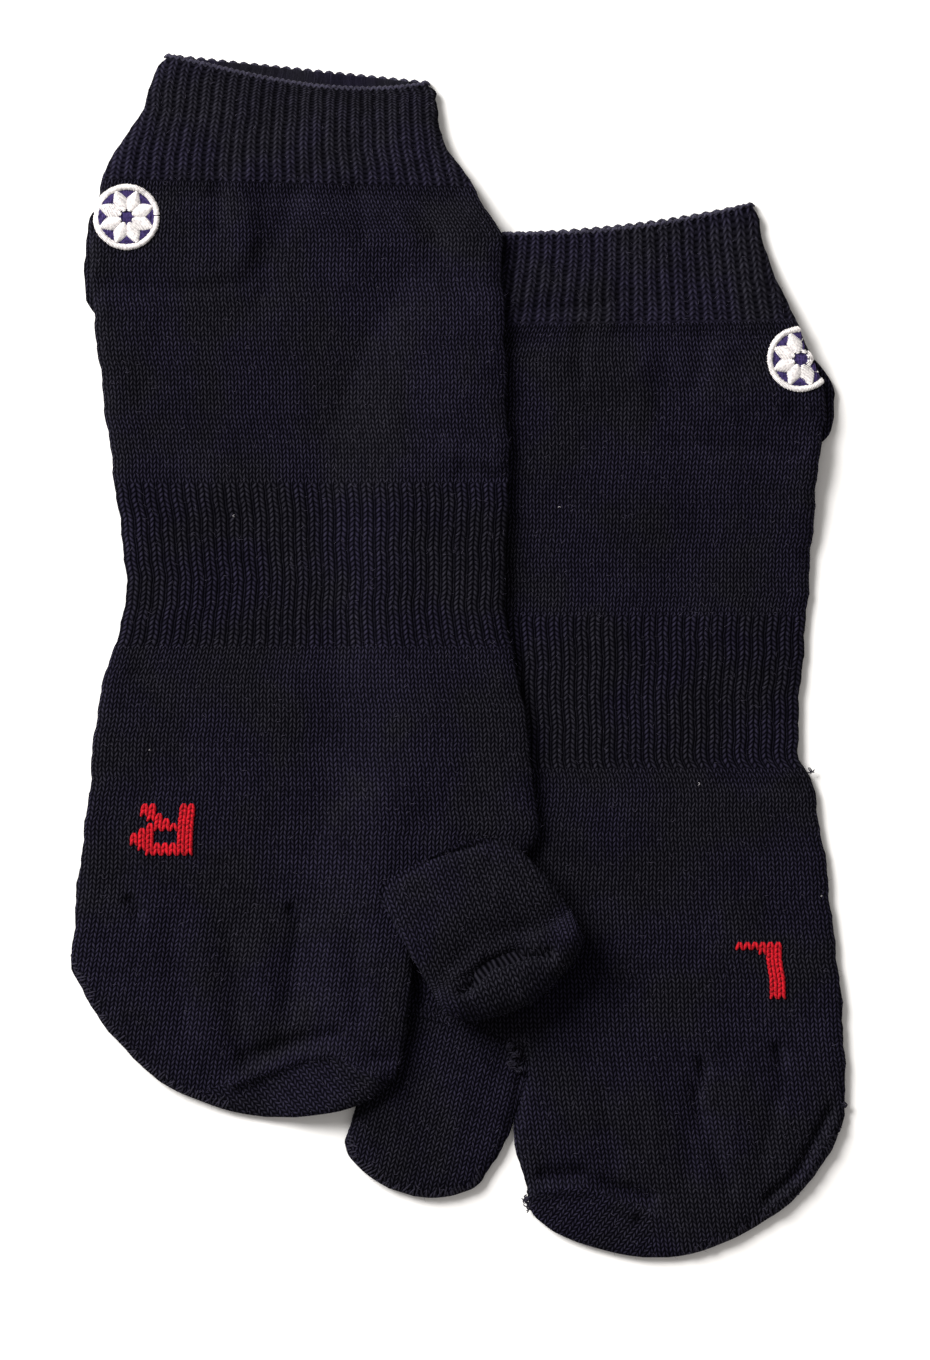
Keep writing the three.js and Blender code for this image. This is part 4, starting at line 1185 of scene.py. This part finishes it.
def nap_tree():
    """Scatters thin bent hairs over the outermost faces of a mesh, none of them below the floor."""
    kinds = {**dict.fromkeys(("Density", "Length", "Width", "Bend"), "Float"), "Seed": "Int"}
    tree, given = new_tree("nap", kinds)
    outermost = add_node(tree, "GeometryNodeInputNamedAttribute", {"Name": "outermost"}, data_type="FLOAT")
    roots = add_node(tree, "GeometryNodeDistributePointsOnFaces", {
        "Mesh": given["Geometry"], "Selection": outermost.outputs["Attribute"],
        "Density": given["Density"], "Seed": given["Seed"],
    })
    cone = add_node(tree, "GeometryNodeMeshCone", {
        "Vertices": 3, "Side Segments": 2, "Radius Bottom": given["Width"], "Depth": given["Length"],
    })
    place = add_node(tree, "ShaderNodeSeparateXYZ", {
        "Vector": tree.nodes.new("GeometryNodeInputPosition").outputs[0],
    })
    up = Sum(tree, place.outputs["Z"])
    aside = up * up * Sum(tree, given["Bend"]).math("DIVIDE", Sum(tree, given["Length"]))
    bent = add_node(tree, "GeometryNodeSetPosition", {
        "Geometry": cone.outputs["Mesh"],
        "Offset": add_node(tree, "ShaderNodeCombineXYZ", {"X": aside.socket}).outputs[0],
    })
    lean = add_node(tree, "FunctionNodeRandomValue", {
        "Min": (NAP_LEAN[0], 0, 0), "Max": (NAP_LEAN[1], 0, 2 * math.pi), "Seed": given["Seed"],
    }, data_type="FLOAT_VECTOR")
    turn = add_node(tree, "FunctionNodeEulerToRotation", {"Euler": lean.outputs["Value"]})
    facing = add_node(tree, "FunctionNodeRotateRotation", {
        "Rotation": roots.outputs["Rotation"], "Rotate By": turn.outputs[0],
    }, rotation_space="LOCAL")
    size = add_node(tree, "FunctionNodeRandomValue", {2: NAP_SHORTEST, 3: 1.0, "Seed": given["Seed"]})
    hairs = add_node(tree, "GeometryNodeInstanceOnPoints", {
        "Points": roots.outputs["Points"], "Instance": bent.outputs[0], "Rotation": facing.outputs[0],
        "Scale": size.outputs[1],
    })
    whole = add_node(tree, "GeometryNodeRealizeInstances", {"Geometry": hairs.outputs[0]})
    depth = up.math("MINIMUM", 0.0) * -1.0
    raised = add_node(tree, "GeometryNodeSetPosition", {
        "Geometry": whole.outputs[0],
        "Offset": add_node(tree, "ShaderNodeCombineXYZ", {"Z": depth.socket}).outputs[0],
    })
    return end_tree(tree, raised.outputs[0], given["Material"])


nap = nap_tree()
for name, source, seed in (("nap_left", left_foot, 1), ("nap_right", right_foot, 2),
                           ("nap_left_stall", left_stall, 3), ("nap_right_stall", right_stall, 4)):
    values = {
        "Density": NAP_PER_AREA, "Length": NAP_LENGTH * MM, "Width": NAP_WIDTH * MM,
        "Bend": NAP_BEND, "Seed": NAP_SEED + seed, "Material": nap_material,
    }
    grown(name, source.data.copy(), nap, values)


# Ragged ends
# Knots and cut ends of navy yarn that the linking left at the corners of the toes, and a few bits of
# pale lint on the cloth.
END_YARN = 0.17
END_RISE = 0.45
END_SPREAD = 0.45              # how far the middles of the ends at one place lie apart
FLATTEN = (1, 1, 0.5)          # they lie flatter than they are wide
LINT_YARN = 0.07
LINT_REACH = 0.8
# Each row: the place on the floor, how many ends, how far they reach, and the height of their middle
FRAYS = [
    (-96.0, -75.6, 8, 1.5, 2.0), (17.5, -135.6, 24, 2.0, 2.0), (17.9, -137.4, 24, 2.1, 2.0),
    (18.8, -133.6, 12, 1.7, 2.2), (96.3, -112.0, 12, 1.8, 2.2), (94.2, -119.0, 8, 1.3, 2.0),
    (3.6, -129.6, 10, 1.6, 2.0), (88.3, -28.6, 3, 2.4, 2.0), (-4.0, -131.9, 6, 1.3, 1.9),
]
KNOTS = [
    (13.2, -97.4, 12, 1.8, 3.9), (14.6, -99.4, 14, 1.6, 4.0), (13.3, -101.8, 18, 1.6, 4.0),
    (15.0, -103.4, 10, 1.4, 3.8),
]
# Each row: the place on the floor, and its height
LINT = [
    (-28.4, -79.8, 5.6), (-55.9, 35.7, 5.3), (25.4, 36.5, 4.9), (-34.0, 110.4, 5.4),
    (-33.9, 120.9, 5.5), (60.2, -32.4, 5.2), (91.0, -60.1, 4.6), (-77.1, -24.0, 5.3),
]
lint_material = flat_colour("lint", (0.35, 0.34, 0.36))


def frays(name, places, radius, material, seed):
    chance = np.random.default_rng(seed)
    starts, ends, outward = [], [], []
    for x, y, count, reach, height in places:
        for _ in range(count):
            way = chance.normal(size=3) * FLATTEN
            way /= np.linalg.norm(way)
            middle = np.array([x, y, height]) + chance.normal(0, END_SPREAD, 3) * FLATTEN
            long = reach * chance.uniform(0.5, 1.0)
            starts.append(middle - way * long / 2)
            ends.append(middle + way * long / 2)
            bow = np.cross(way, (0, 0, 1.0)) * chance.choice([-1, 1]) + (0, 0, 0.4)
            outward.append(bow / np.linalg.norm(bow))
    starts, ends, outward = (np.array(part) for part in (starts, ends, outward))
    stitched(name, starts, ends, outward, radius, END_RISE, material)


frays("ragged_ends", FRAYS, END_YARN, seam_yarn, 9)
frays("crotch_knots", KNOTS, END_YARN, seam_yarn, 10)
frays("lint", [(x, y, 1, LINT_REACH, height) for x, y, height in LINT], LINT_YARN, lint_material, 12)


# The floor and the light
# A white sheet under one large soft lamp at the upper left, with white walls all round.
SHEET_REACH = 3.0
LAMP_WATTS = 98
LAMP_SIZE = 1.1
LAMP_AT = (-1.3, 1.1, 1.35)
LAMP_TURN = (-52, 0, 50)
WALL_LIGHT = 0.42

corner_signs = [(-1, -1), (1, -1), (1, 1), (-1, 1)]
sheet_mesh = bpy.data.meshes.new("white_sheet")
sheet_mesh.from_pydata([(SHEET_REACH * x, SHEET_REACH * y, 0) for x, y in corner_signs], [], [(0, 1, 2, 3)])
sheet_mesh.materials.append(flat_colour("white_paper", (0.9, 0.9, 0.9)))
placed("white_sheet", sheet_mesh)

lamp = bpy.data.lights.new("lamp", "AREA")
lamp.energy = LAMP_WATTS
lamp.size = LAMP_SIZE
lamp.color = (1.0, 0.98, 0.955)
placed("lamp", lamp, LAMP_AT, LAMP_TURN)

walls = bpy.data.worlds.new("white_walls")
walls.use_nodes = True
wall_light = walls.node_tree.nodes["Background"]
wall_light.inputs["Color"].default_value = (1.0, 0.955, 0.915, 1)
wall_light.inputs["Strength"].default_value = WALL_LIGHT
bpy.context.scene.world = walls
bpy.context.scene.view_settings.view_transform = "Standard"
